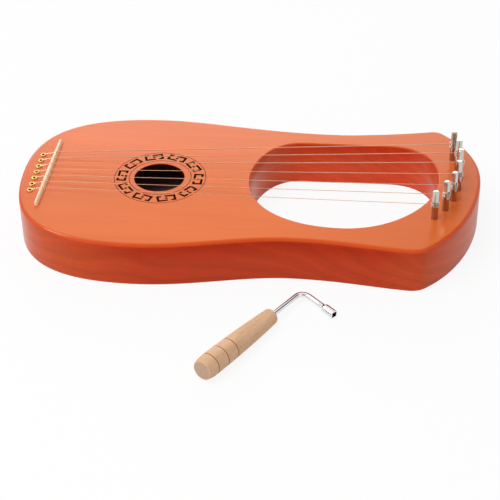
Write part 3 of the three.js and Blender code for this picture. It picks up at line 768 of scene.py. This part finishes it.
def draw_hook():
    """One hook of a key motif, flat: its long arm, its side and its short arm, in squares of one stroke."""
    rosette = sizes("harp_rosette")
    width = rosette.stroke
    high, wide = rosette.half_height, rosette.half_width
    bpy.ops.mesh.primitive_plane_add(size=width, location=(0, high, 0))
    hook = settle(bpy.context.active_object)
    legs = ((Vector((1, 0, 0)), (wide - width, width)), (Vector((0, -1, 0)), (2 * high - width, width)),
            (Vector((-1, 0, 0)), (rosette.short_arm,)))
    place = Vector((0, high, 0))
    for way, lengths in legs:
        for length in lengths:
            edge = place + way * width / 2
            pick(hook, "EDGE", lambda co, e=edge, w=way: abs((co - e).dot(w)) < width / 10
                 and (co - e).length < width * 0.6)
            with editing(hook, "EDGE"):
                bpy.ops.mesh.extrude_region_move(TRANSFORM_OT_translate={"value": way * length})
            place = edge + way * (length - width / 2)
    return hook


def carve_rosette():
    """The solid that is burnt out of the soundboard: hooks, dots and fine rings."""
    rosette = sizes("harp_rosette")
    hook = draw_hook()
    other = duplicate(hook)
    other.rotation_euler.z = math.pi
    settle(other)
    bpy.ops.mesh.primitive_plane_add(size=rosette.stroke)
    motif = join([hook, other, bpy.context.active_object])
    only(motif)
    low = TOP_Z - rosette.depth
    with editing(motif):
        bpy.ops.mesh.select_all(action="SELECT")
        bpy.ops.mesh.extrude_region_move(TRANSFORM_OT_translate={"value": (0, 0, rosette.depth + MM)})
        face_out()
    cutters = []
    for i in range(rosette.units):
        angle = rosette.first_angle + math.tau * i / rosette.units
        copy = duplicate(motif)
        copy.location = (rosette.shift + rosette.middle_radius * math.cos(angle),
                         rosette.middle_radius * math.sin(angle), low)
        copy.rotation_euler.z = angle - math.pi / 2
        cutters.append(settle(copy))
    bpy.data.objects.remove(motif)
    for radius in (rosette.inner_ring, rosette.outer_ring):
        half = rosette.ring_width / 2
        shallow = TOP_Z - rosette.depth / 2
        ring = turn(((radius - half, shallow), (radius + half, shallow),
                     (radius + half, TOP_Z + MM), (radius - half, TOP_Z + MM)), 160)
        ring.location.x = rosette.shift
        cutters.append(settle(ring))
    return dress(join(cutters), "burnt")


class HARP_OT_soundboard(bpy.types.Operator):
    """Makes the soundboard with its hole, hand opening and burnt rosette"""

    bl_idname = "harp.soundboard"
    bl_label = "Soundboard"

    def execute(self, context):
        body = sizes("harp_body")
        top = raise_layer(TOP_LOW.z, TOP_Z)
        bevel(top, lambda co: co.z > TOP_Z - FLAT, body.top_round, 7)
        bevel(top, lambda co: co.z < TOP_LOW.z + FLAT, body.seam, 1)
        cut_through(top, opening_outline(), TOP_LOW.z - MM, TOP_Z + MM)
        bevel(top, lambda co: co.z > TOP_Z - FLAT and in_opening(co), body.opening_round, 5)
        cut_through(top, ring_points(body.hole_radius, 96), TOP_LOW.z - MM, TOP_Z + MM, "burnt")
        bevel(top, lambda co: co.z > TOP_Z - FLAT and near_hole(co, body.hole_radius), body.hole_round, 4)
        drill(top, pin_places(), sizes("harp_pins").radius + MM / 10, TOP_LOW.z - MM, TOP_Z + MM)
        drill(top, string_places(), sizes("harp_strings").ferrule_hole, TOP_LOW.z - MM, TOP_Z + MM)
        combine(top, carve_rosette())
        finish_piece(top, "soundboard", "harp", ["body", "chamber"],
                     ["top_plate"], weighted=True)
        line_chamber(top, TOP_LOW.z - FLAT, TOP_LOW.z + FLAT)
        return {"FINISHED"}


def line_chamber(plate, low, high):
    """Gives the flat faces that close the sound chamber the chamber's wood."""
    index = plate.data.materials.find(material("chamber").name)
    for face in plate.data.polygons:
        if low < face.center.z < high:
            face.material_index = index


def chamber_outline():
    """The sound chamber's outline: the rim set inwards, up to the wall at the hand opening."""
    body = sizes("harp_body")
    rim = inset(body_outline(), body.rim_wall)
    wall = inset(opening_outline(), -body.opening_wall)
    start = TOP_LOW.x + body.tail_block
    reach = body.opening_start + body.opening_length / 2
    return [p for p in rim if p.x < reach], wall, start


class HARP_OT_sides(bpy.types.Operator):
    """Makes the body's frame: rim, tail block, arms and head round the chamber and the hand opening"""

    bl_idname = "harp.sides"
    bl_label = "Sides"

    def execute(self, context):
        body = sizes("harp_body")
        low, high = FRAME_LOW.z, FRAME_HIGH.z
        sides = raise_layer(low, high)
        bevel(sides, lambda co: co.z > high - FLAT or co.z < low + FLAT, body.seam, 1)
        cut_through(sides, opening_outline(), low - MM, high + MM)
        rim, wall, start = chamber_outline()
        chamber = raise_plate(rim, low - MM, high + MM)
        combine(chamber, raise_plate(wall, low - 2 * MM, high + 2 * MM))
        bpy.ops.mesh.primitive_cube_add(size=1, location=(start - BODY_LENGTH / 2, 0, 0))
        block = bpy.context.active_object
        block.scale = (BODY_LENGTH, BODY_LENGTH, BODY_LENGTH)
        combine(chamber, settle(block))
        combine(sides, dress(chamber, "chamber"))
        finish_piece(sides, "body_sides", "harp", ["body", "chamber"],
                     ["body_frame"], weighted=True)
        return {"FINISHED"}


class HARP_OT_back(bpy.types.Operator):
    """Makes the back plate with the recesses for the strings' ball ends"""

    bl_idname = "harp.back"
    bl_label = "Back"

    def execute(self, context):
        body = sizes("harp_body")
        low, high = BACK_LOW.z, BACK_HIGH.z
        back = raise_layer(low, high)
        bevel(back, lambda co: co.z < low + FLAT, body.bottom_round, 5)
        cut_through(back, opening_outline(), low - MM, high + MM)
        bevel(back, lambda co: co.z < low + FLAT and in_opening(co), body.opening_round, 4)
        drill(back, string_places(), sizes("harp_strings").ball_recess, low - MM, high + MM)
        finish_piece(back, "back_board", "harp", ["body", "chamber"],
                     ["back_plate"], weighted=True)
        line_chamber(back, high - FLAT, high + FLAT)
        for node in ("brace_tail", "brace_head"):
            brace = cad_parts[node]
            brace.data.materials.clear()
            brace.data.materials.append(material("chamber"))
        return {"FINISHED"}


# Stringing
def bridge_x(y=0.0):
    """The middle of the slanting bridge at this distance across."""
    return (BRIDGE_LOW.x + BRIDGE_HIGH.x) / 2 + sizes("harp_bridge").skew * y / (BRIDGE_HIGH.y - BRIDGE_LOW.y)


class HARP_OT_bridge(bpy.types.Operator):
    """Makes the half-round bone bridge with a notch for each string"""

    bl_idname = "harp.bridge"
    bl_label = "Bridge"

    def execute(self, context):
        bridge = sizes("harp_bridge")
        half = bridge.width / 2
        height = BRIDGE_HIGH.z - BRIDGE_LOW.z
        length = BRIDGE_HIGH.y - BRIDGE_LOW.y
        bpy.ops.mesh.primitive_uv_sphere_add(segments=48, ring_count=24, radius=half)
        bar = bpy.context.active_object
        for vertex in bar.data.vertices:
            vertex.co = Vector((vertex.co.x, vertex.co.z, vertex.co.y))
            vertex.co.y += math.copysign(length / 2 - half, vertex.co.y) if abs(vertex.co.y) > FLAT else 0
        with editing(bar):
            bpy.ops.mesh.select_all(action="SELECT")
            bpy.ops.mesh.bisect(plane_co=(0, 0, 0), plane_no=(0, 0, 1), clear_inner=True, use_fill=True)
            face_out()
        middle = (BRIDGE_HIGH.y + BRIDGE_LOW.y) / 2
        bar.location = (0, middle, BRIDGE_LOW.z)
        bar.scale = (1, 1, height / half)
        settle(bar)
        for vertex in bar.data.vertices:
            narrowing = 1 - bridge.end_taper * max(abs(vertex.co.y - middle) * 2 / length - 0.5, 0) * 2
            vertex.co.x = vertex.co.x * narrowing + bridge_x(vertex.co.y)
        dress(bar, "bone")
        notches = []
        for _, y in string_places():
            bpy.ops.mesh.primitive_cylinder_add(vertices=24, radius=bridge.notch_radius, depth=4 * half,
                                                rotation=(0, math.pi / 2, 0))
            notch = bpy.context.active_object
            notch.location = (bridge_x(y), y, BRIDGE_HIGH.z - bridge.notch_depth + bridge.notch_radius)
            notches.append(settle(notch))
        combine(bar, join(notches))
        finish_piece(bar, "bone_bridge", "harp", ["bone"], ["bridge"], angle=40)
        return {"FINISHED"}


class HARP_OT_ferrules(bpy.types.Operator):
    """Makes the brass ferrules and the ball ends that hold the strings at the tail"""

    bl_idname = "harp.ferrules"
    bl_label = "Ferrules and ball ends"

    def execute(self, context):
        strings = sizes("harp_strings")
        bore, stem, rounding = strings.ferrule_bore, strings.ferrule_stem, strings.lip_round
        for k in STRINGS:
            low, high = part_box(f"ferrule_{k}")
            middle = (low + high) / 2
            rim = (high.y - low.y) / 2
            crown = high.z - rounding
            profile = [(stem, low.z), (stem, TOP_Z - FLAT), (rim, TOP_Z)]
            profile += arc((rim - rounding, crown), rounding, 0, 90, 5)
            profile += arc((bore + rounding, crown), rounding, 90, 180, 5)
            profile += [(bore, low.z)]
            ferrule = turn(profile, 40)
            ferrule.location = (middle.x, middle.y, 0)
            finish_piece(ferrule, f"brass_ferrule_{k}", "harp", ["brass"], [f"ferrule_{k}"],
                         angle=45)
            low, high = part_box(f"ball_end_{k}")
            radius = (high.x - low.x) / 2
            half = (high.y - low.y) / 2
            core = strings.ball_bore
            waist = (radius + core) / 2
            ease = MM / 10
            profile = [(core, -half), (radius - ease, -half), (radius, -half + ease), (radius, -half / 2)]
            profile += [(waist, -half / 6), (waist, half / 6), (radius, half / 2), (radius, half - ease),
                        (radius - ease, half), (core, half)]
            ball = turn(profile, 32)
            ball.rotation_euler.x = math.pi / 2
            ball.location = (low + high) / 2
            finish_piece(ball, f"brass_ball_end_{k}", "harp", ["brass"], [f"ball_end_{k}"],
                         angle=45)
        return {"FINISHED"}


def coil_facts(k):
    """The winding's axis, radius, pitch, start height and start angle, as the straight string meets it."""
    strings = sizes("harp_strings")
    gauge = strings.gauges[k - 1]
    axis = centre_of(f"tuning_pin_{k}").xy
    radius = sizes("harp_pins").radius + strings.coil_seat + gauge / 2
    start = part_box(f"winding_{k}")[1].z - gauge / 2
    crest_y = string_places()[k - 1].y
    crest = Vector((bridge_x(crest_y), crest_y))
    span = axis - crest
    lean = math.asin(radius / span.length)
    angle = math.atan2(span.y, span.x) + lean - math.pi / 2
    return axis, radius, gauge + strings.coil_gap, start, angle


def around(axis, radius, angle, z):
    return Vector((axis.x + radius * math.cos(angle), axis.y + radius * math.sin(angle), z))


def coil_end(k):
    strings = sizes("harp_strings")
    _, _, pitch, start, angle = coil_facts(k)
    turns = strings.turns[k - 1]
    return angle + math.tau * turns, start - pitch * turns


class HARP_OT_strings(bpy.types.Operator):
    """Makes each string from its ball end over the ferrule and the bridge to its pin"""

    bl_idname = "harp.strings"
    bl_label = "Strings"

    def execute(self, context):
        strings = sizes("harp_strings")
        for k in STRINGS:
            gauge = strings.gauges[k - 1]
            place = string_places()[k - 1]
            axis, radius, _, start, angle = coil_facts(k)
            touch = around(axis, radius, angle, start)
            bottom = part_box(f"string_{k}")[0].z
            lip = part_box(f"ferrule_{k}")[1].z
            notch = BRIDGE_HIGH.z - sizes("harp_bridge").notch_depth + gauge / 2
            crest = Vector((bridge_x(place.y), place.y, notch))
            way = (touch - crest).normalized()
            bend = place.x + strings.ferrule_bore - gauge / 2
            drop, run, near, far = 0.35 * MM, 0.5 * MM, 0.6 * MM, 20 * MM
            inwards, below = 0.1 * MM, 0.8 * MM
            path = [Vector((bend - inwards, place.y, z)) for z in (bottom, lip - below)]
            for a in (math.radians(degrees) for degrees in (0, 20, 40, 60, 80)):
                over = lip - drop + (drop + gauge / 2) * math.sin(a)
                path.append(Vector((bend + run * (1 - math.cos(a)), place.y, over)))
            slope = (crest.z - path[-1].z) / (crest.x - path[-1].x)
            path.append(crest - Vector((near, 0, near * slope * 1.6)))
            path.append(crest)
            path += [crest + way * d for d in (near, far)]
            path += [crest.lerp(touch, t) for t in (0.35, 0.65)] + [touch]
            string = draw_wire(path, gauge / 2)
            finish_piece(string, f"steel_string_{k}", "harp", ["steel"],
                         [f"string_{k}"], angle=60)
        return {"FINISHED"}


class HARP_OT_windings(bpy.types.Operator):
    """Winds each string's end on its pin and tucks it into the pin's hole"""

    bl_idname = "harp.windings"
    bl_label = "Windings"

    def execute(self, context):
        strings = sizes("harp_strings")
        for k in STRINGS:
            gauge = strings.gauges[k - 1]
            axis, radius, pitch, start, angle = coil_facts(k)
            end, end_z = coil_end(k)
            tuck = strings.tuck
            tuck_steps = 8
            tuck_angle = math.asin(tuck / (radius - tuck))
            sweep = math.tau * strings.turns[k - 1] - tuck_angle
            steps = round(48 * sweep / math.tau)
            path = [around(axis, radius, angle + turned, start - pitch * turned / math.tau)
                    for turned in (sweep * i / steps for i in range(steps + 1))]
            last = path[-1].z
            centre = around(axis, radius - tuck, end - tuck_angle, 0).xy
            for i in range(1, tuck_steps + 1):
                share = i / tuck_steps
                a = end - tuck_angle + share * (tuck_angle + math.pi / 2)
                path.append(around(centre, tuck, a, last + (end_z - last) * share))
            path.append(around(axis, MM, end, end_z))
            coil = draw_wire(path, gauge / 2)
            finish_piece(coil, f"wire_winding_{k}", f"pin_{k}", ["coil"],
                         [f"winding_{k}"], angle=60)
        return {"FINISHED"}


class HARP_OT_pins(bpy.types.Operator):
    """Makes the tuning pins: round shafts with square tapered heads and a hole for the wire"""

    bl_idname = "harp.pins"
    bl_label = "Tuning pins"

    def execute(self, context):
        pins = sizes("harp_pins")
        low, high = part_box("tuning_pin_1")
        length = high.z - low.z
        edge = pins.chamfer
        radius = pins.radius
        profile = [(0, 0), (radius - edge, 0), (radius, edge), (radius, length - edge)]
        profile += arc((radius - edge, length - edge), edge, 20, 90, 4) + [(0, length)]
        for k in STRINGS:
            low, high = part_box(f"tuning_pin_{k}")
            end, end_z = coil_end(k)
            pin = dress(turn(profile, 48), "nickel")
            foot = length - pins.flats_length
            bpy.ops.mesh.primitive_cube_add(size=1)
            flats = bpy.context.active_object
            half = pins.flats_width / 2
            for vertex in flats.data.vertices:
                top = vertex.co.z > 0
                side = half - (pins.flats_taper if top else 0)
                vertex.co = (math.copysign(side, vertex.co.x), math.copysign(side, vertex.co.y),
                             length + MM if top else foot)
            flats.rotation_euler.z = pins.head_turns[k - 1]
            settle(flats)
            bpy.ops.mesh.primitive_cylinder_add(vertices=48, radius=2 * radius, depth=foot + MM,
                                                location=(0, 0, (foot - MM) / 2))
            shank = settle(bpy.context.active_object)
            combine(flats, shank, "UNION")
            combine(pin, flats, "INTERSECT")
            bpy.ops.mesh.primitive_cylinder_add(vertices=20, radius=pins.hole_radius, depth=4 * radius,
                                                rotation=(0, math.pi / 2, 0), location=(0, 0, end_z - low.z))
            combine(pin, settle(bpy.context.active_object))
            # Painted shade: faces below the square head take the darker copy of the nickel
            pin.data.materials.append(material("shaft"))
            shaft = len(pin.data.materials) - 1
            for face in pin.data.polygons:
                if face.center.z < foot - FLAT:
                    face.material_index = shaft
            pin.rotation_euler.z = end
            pin.location = ((low.x + high.x) / 2, (low.y + high.y) / 2, low.z)
            finish_piece(pin, f"nickel_pin_{k}", f"pin_{k}", ["nickel"],
                         [f"tuning_pin_{k}"], angle=20)
        return {"FINISHED"}


# Wrench
def handle_radius_at(along):
    """The barrel's radius, drawn in along a curve from its swell to both ends."""
    wrench = sizes("harp_wrench")
    butt = along < wrench.swell
    end = wrench.butt_radius if butt else wrench.nose_radius
    span = wrench.swell if butt else wrench.handle_length - wrench.swell
    return wrench.handle_radius - (wrench.handle_radius - end) * ((along - wrench.swell) / span) ** 2


def wrench_dip():
    wrench = sizes("harp_wrench")
    slope = (wrench.rest - wrench.swell) / (wrench.handle_length - wrench.swell) ** 2
    return math.atan(2 * (wrench.handle_radius - wrench.nose_radius) * slope)


def wrench_matrix():
    """Where the wrench lies: on the curve of its handle, so its axis dips towards the nose."""
    wrench = sizes("harp_wrench")
    dip = wrench_dip()
    z = handle_radius_at(wrench.rest) * math.cos(dip) + wrench.rest * math.sin(dip)
    return (Matrix.Translation((*wrench.place, z)) @ Matrix.Rotation(wrench.turn, 4, "Z")
            @ Matrix.Rotation(dip, 4, "Y"))


def key_way():
    bend = sizes("harp_wrench").bend
    return Vector((math.cos(bend), -math.sin(bend), 0))


def key_tip():
    wrench = sizes("harp_wrench")
    return Vector((wrench.handle_length + wrench.rod_reach, 0, 0)) + key_way() * wrench.rod_arm


class HARP_OT_handle(bpy.types.Operator):
    """Turns the beech handle with its burnt grooves"""

    bl_idname = "harp.handle"
    bl_label = "Wrench handle"

    def execute(self, context):
        wrench = sizes("harp_wrench")
        nose = wrench.handle_length - wrench.nose_round
        clearance = 0.12 * MM
        bore = wrench.rod_radius + clearance
        floor = wrench.handle_length - wrench.rod_in_handle
        profile = [(bore, wrench.handle_length), (bore, floor), (0, floor), (0, 0)]
        rounded = handle_radius_at(wrench.butt_round) - wrench.butt_round
        profile += arc((rounded, wrench.butt_round), wrench.butt_round, -90, 0, 5)
        marks = [wrench.groove_start + wrench.groove_step * i for i in range(wrench.grooves)]
        half = wrench.groove_width / 2
        stations = [wrench.butt_round + (marks[0] - half - wrench.butt_round) * i / 10 for i in range(1, 10)]
        stations += [mark + half * share for mark in marks for share in (-1, -0.6, 0, 0.6, 1)]
        stations += [mark + wrench.groove_step * i / 4 for mark in marks[:-1] for i in (1, 2, 3)]
        after = marks[-1] + half
        stations += [after + (nose - after) * i / 16 for i in range(1, 16)]
        for along in sorted(stations):
            offset = min(abs(along - mark) for mark in marks) / half
            depth = wrench.groove_depth * max(1 - offset ** 2, 0)
            profile.append((handle_radius_at(along) - depth, along))
        profile += arc((handle_radius_at(nose) - wrench.nose_round, nose), wrench.nose_round, 0, 90, 6)
        handle = turn(profile, 64)
        lying = wrench_matrix() @ Matrix.Rotation(math.pi / 2, 4, "Y")
        handle.matrix_world = lying
        finish_piece(handle, "beech_handle", "wrench",
                     ["beech", "groove", "end"], ["wrench_handle"], angle=50)
        upright = lying.inverted()
        groove_slot, end_slot = 1, 2
        for face in handle.data.polygons:
            along = (upright @ face.center).z
            if any(abs(along - mark) < half for mark in marks):
                face.material_index = groove_slot
            elif along < FLAT:
                face.material_index = end_slot
        return {"FINISHED"}


class HARP_OT_key(bpy.types.Operator):
    """Bends the plated rod and forms the square socket at its end"""

    bl_idname = "harp.key"
    bl_label = "Wrench key"

    def execute(self, context):
        wrench = sizes("harp_wrench")
        cut = wrench.bend_radius * math.tan(wrench.bend / 2)
        bend_start = wrench.handle_length + wrench.rod_reach - cut
        gap, lead, bend_steps = 0.3 * MM, 5 * MM, 24
        foot = wrench.handle_length - wrench.rod_in_handle + gap
        path = [Vector((foot, 0, 0)), Vector((bend_start - lead, 0, 0))]
        for i in range(bend_steps + 1):
            a = wrench.bend * i / bend_steps
            path.append(Vector((bend_start + wrench.bend_radius * math.sin(a),
                                -wrench.bend_radius * (1 - math.cos(a)), 0)))
        socket_start = key_tip() + key_way() * (wrench.socket_flare - wrench.socket_length)
        path.append(path[-1].lerp(socket_start, 0.5))
        path.append(socket_start)
        key = dress(draw_wire(path, wrench.rod_radius, resolution=7), "chrome")
        length = wrench.socket_length
        flare = wrench.socket_flare
        rod, outer, rounding = wrench.rod_radius, wrench.socket_radius, 0.4 * MM
        ease, flare_steps = 0.1 * MM, 8
        profile = [(0, 0), (rod - ease / 2, 0), (rod, ease)]
        for i in range(1, flare_steps + 1):
            swell = (outer - rod) * (1 - math.cos(math.pi * i / flare_steps)) / 2
            profile.append((rod + swell, ease + flare * i / flare_steps))
        profile += arc((outer - rounding, length - rounding), rounding, 0, 90, 4) + [(0, length)]
        sleeve = turn(profile, 48)
        bpy.ops.mesh.primitive_cube_add(size=1)
        square = bpy.context.active_object
        square.scale = (wrench.socket_width, wrench.socket_width, 2 * wrench.socket_depth)
        square.location = (0, 0, length)
        settle(square)
        bevel(square, lambda co: True, gap, 2)
        placing = (Matrix.Translation(key_tip() - key_way() * length) @ Matrix.Rotation(-wrench.bend, 4, "Z")
                   @ Matrix.Rotation(math.pi / 2, 4, "Y"))
        for part in (sleeve, square):
            part.matrix_world = placing
            settle(part)
        combine(key, sleeve, "UNION")
        combine(key, square)
        tip = key_tip()
        matrix = wrench_matrix()
        height = (matrix @ Vector((tip.x, 0, 0))).z - wrench.socket_radius
        roll = math.asin(height / (-tip.y * math.cos(wrench_dip())))
        key.matrix_world = matrix @ Matrix.Rotation(roll, 4, "X")
        finish_piece(key, "plated_key", "wrench", ["chrome"], ["wrench_key"], angle=35)
        return {"FINISHED"}


# Stage
def stage_material(name, color, camera_share):
    """A pale matt surface that the camera sees partly as plain white."""
    finish = Finish(name, color, 0.9)
    finish.set("Specular IOR Level", 0.0)
    glow = finish.add("ShaderNodeEmission")
    glow.inputs["Color"].default_value = (1, 1, 1, 1)
    glow.inputs["Strength"].default_value = 1
    rays = finish.add("ShaderNodeLightPath")
    seen = finish.math("MAXIMUM", rays.outputs["Is Camera Ray"], rays.outputs["Is Glossy Ray"])
    seen = finish.math("MAXIMUM", seen, rays.outputs["Is Transmission Ray"])
    share = finish.math("MULTIPLY", seen, camera_share)
    mixer = finish.add("ShaderNodeMixShader")
    finish.link(share, mixer.inputs["Fac"])
    finish.link(finish.shader.outputs["BSDF"], mixer.inputs[1])
    finish.link(glow.outputs["Emission"], mixer.inputs[2])
    finish.link(mixer.outputs["Shader"], finish.tree.nodes["Material Output"].inputs["Surface"])
    return finish.material


class HARP_OT_stage(bpy.types.Operator):
    """Sets the pale floor, the soft lights, the world and the camera"""

    bl_idname = "harp.stage"
    bl_label = "Stage"

    def stand_flag(self, name, place, size):
        """A dark flag that only reflections see, for the dark lines in bright metal."""
        bpy.ops.mesh.primitive_plane_add(size=1)
        flag = bpy.context.active_object
        flag.name = name
        flag.scale = (*size, 1)
        flag.location = place
        flag.rotation_euler = (-Vector(place)).to_track_quat("Z", "Y").to_euler()
        finish = Finish(name, (0.03, 0.03, 0.03), 1.0)
        finish.set("Specular IOR Level", 0.0)
        flag.data.materials.append(finish.material)
        for ray in ("camera", "diffuse", "shadow", "transmission"):
            setattr(flag, f"visible_{ray}", False)

    def execute(self, context):
        stage = sizes("harp_stage")
        bpy.ops.mesh.primitive_plane_add(size=40)
        floor = bpy.context.active_object
        floor.name = "floor"
        floor.data.materials.append(stage_material("pale_floor", (0.86, 0.86, 0.86), stage.floor_share))
        self.stand_flag("dark_flag", stage.flag_place, stage.flag_size)
        self.stand_flag("front_flag", stage.front_place, stage.front_size)

        world = bpy.data.worlds.new("studio")
        context.scene.world = world
        world.use_nodes = True
        tree = world.node_tree
        background = tree.nodes["Background"]
        rays = tree.nodes.new("ShaderNodeLightPath")
        seen = tree.nodes.new("ShaderNodeMath")
        seen.operation = "MAXIMUM"
        tree.links.new(rays.outputs["Is Camera Ray"], seen.inputs[0])
        tree.links.new(rays.outputs["Is Glossy Ray"], seen.inputs[1])
        strength = tree.nodes.new("ShaderNodeMapRange")
        strength.inputs["To Min"].default_value = stage.world_strength
        strength.inputs["To Max"].default_value = 1
        tree.links.new(seen.outputs[0], strength.inputs["Value"])
        tree.links.new(strength.outputs["Result"], background.inputs["Strength"])
        background.inputs["Color"].default_value = (1, 1, 1, 1)

        target = Vector((0.05, 0, 0))
        for name, place, size, power, diffuse, glossy in (
            ("key_light", stage.key_place, stage.key_size, stage.key_power, True, False),
            ("back_light", stage.back_place, stage.back_size, stage.back_power, True, True),
            ("glint_light", stage.glint_place, stage.glint_size, stage.glint_power, False, True),
        ):
            light = bpy.data.lights.new(name, "AREA")
            light.shape = "RECTANGLE"
            light.size, light.size_y = size
            light.energy = power
            lamp = bpy.data.objects.new(name, light)
            lamp.location = place
            aim = target - Vector(place)
            lamp.rotation_euler = aim.to_track_quat("-Z", "Y").to_euler()
            lamp.visible_diffuse = diffuse
            lamp.visible_glossy = glossy
            context.scene.collection.objects.link(lamp)

        data = bpy.data.cameras.new("camera")
        data.lens = stage.focal_length
        camera = bpy.data.objects.new("camera", data)
        camera.location = stage.camera_place
        camera.rotation_euler = stage.camera_turn
        context.scene.collection.objects.link(camera)
        context.scene.camera = camera
        context.scene.view_settings.view_transform = "Standard"
        return {"FINISHED"}


OPERATORS = (HARP_OT_stage, HARP_OT_soundboard, HARP_OT_sides, HARP_OT_back, HARP_OT_bridge, HARP_OT_ferrules,
             HARP_OT_strings, HARP_OT_windings, HARP_OT_pins, HARP_OT_handle, HARP_OT_key)
GROUPS = {"harp_body": BodySizes, "harp_rosette": RosetteSizes, "harp_strings": StringSizes,
          "harp_bridge": BridgeSizes, "harp_pins": PinSizes, "harp_wrench": WrenchSizes,
          "harp_stage": StageSizes}


class HARP_PT_panel(bpy.types.Panel):
    """Lists the pieces and their sizes"""

    bl_label = "Lyre Harp"
    bl_idname = "HARP_PT_panel"
    bl_space_type = "VIEW_3D"
    bl_region_type = "UI"
    bl_category = "Lyre Harp"

    def draw(self, context):
        for operator in OPERATORS:
            self.layout.operator(operator.bl_idname)
        for group, kind in GROUPS.items():
            box = self.layout.box()
            for name in kind.__annotations__:
                box.prop(getattr(context.scene, group), name)


def register():
    for kind in (*GROUPS.values(), *OPERATORS, HARP_PT_panel):
        bpy.utils.register_class(kind)
    for group, kind in GROUPS.items():
        setattr(bpy.types.Scene, group, PointerProperty(type=kind))


def unregister():
    for group in GROUPS:
        delattr(bpy.types.Scene, group)
    for kind in reversed((*GROUPS.values(), *OPERATORS, HARP_PT_panel)):
        bpy.utils.unregister_class(kind)


def main():
    register()
    start_clean()
    for operator in OPERATORS:
        namespace, name = operator.bl_idname.split(".")
        getattr(getattr(bpy.ops, namespace), name)()


if __name__ == "__main__":
    main()
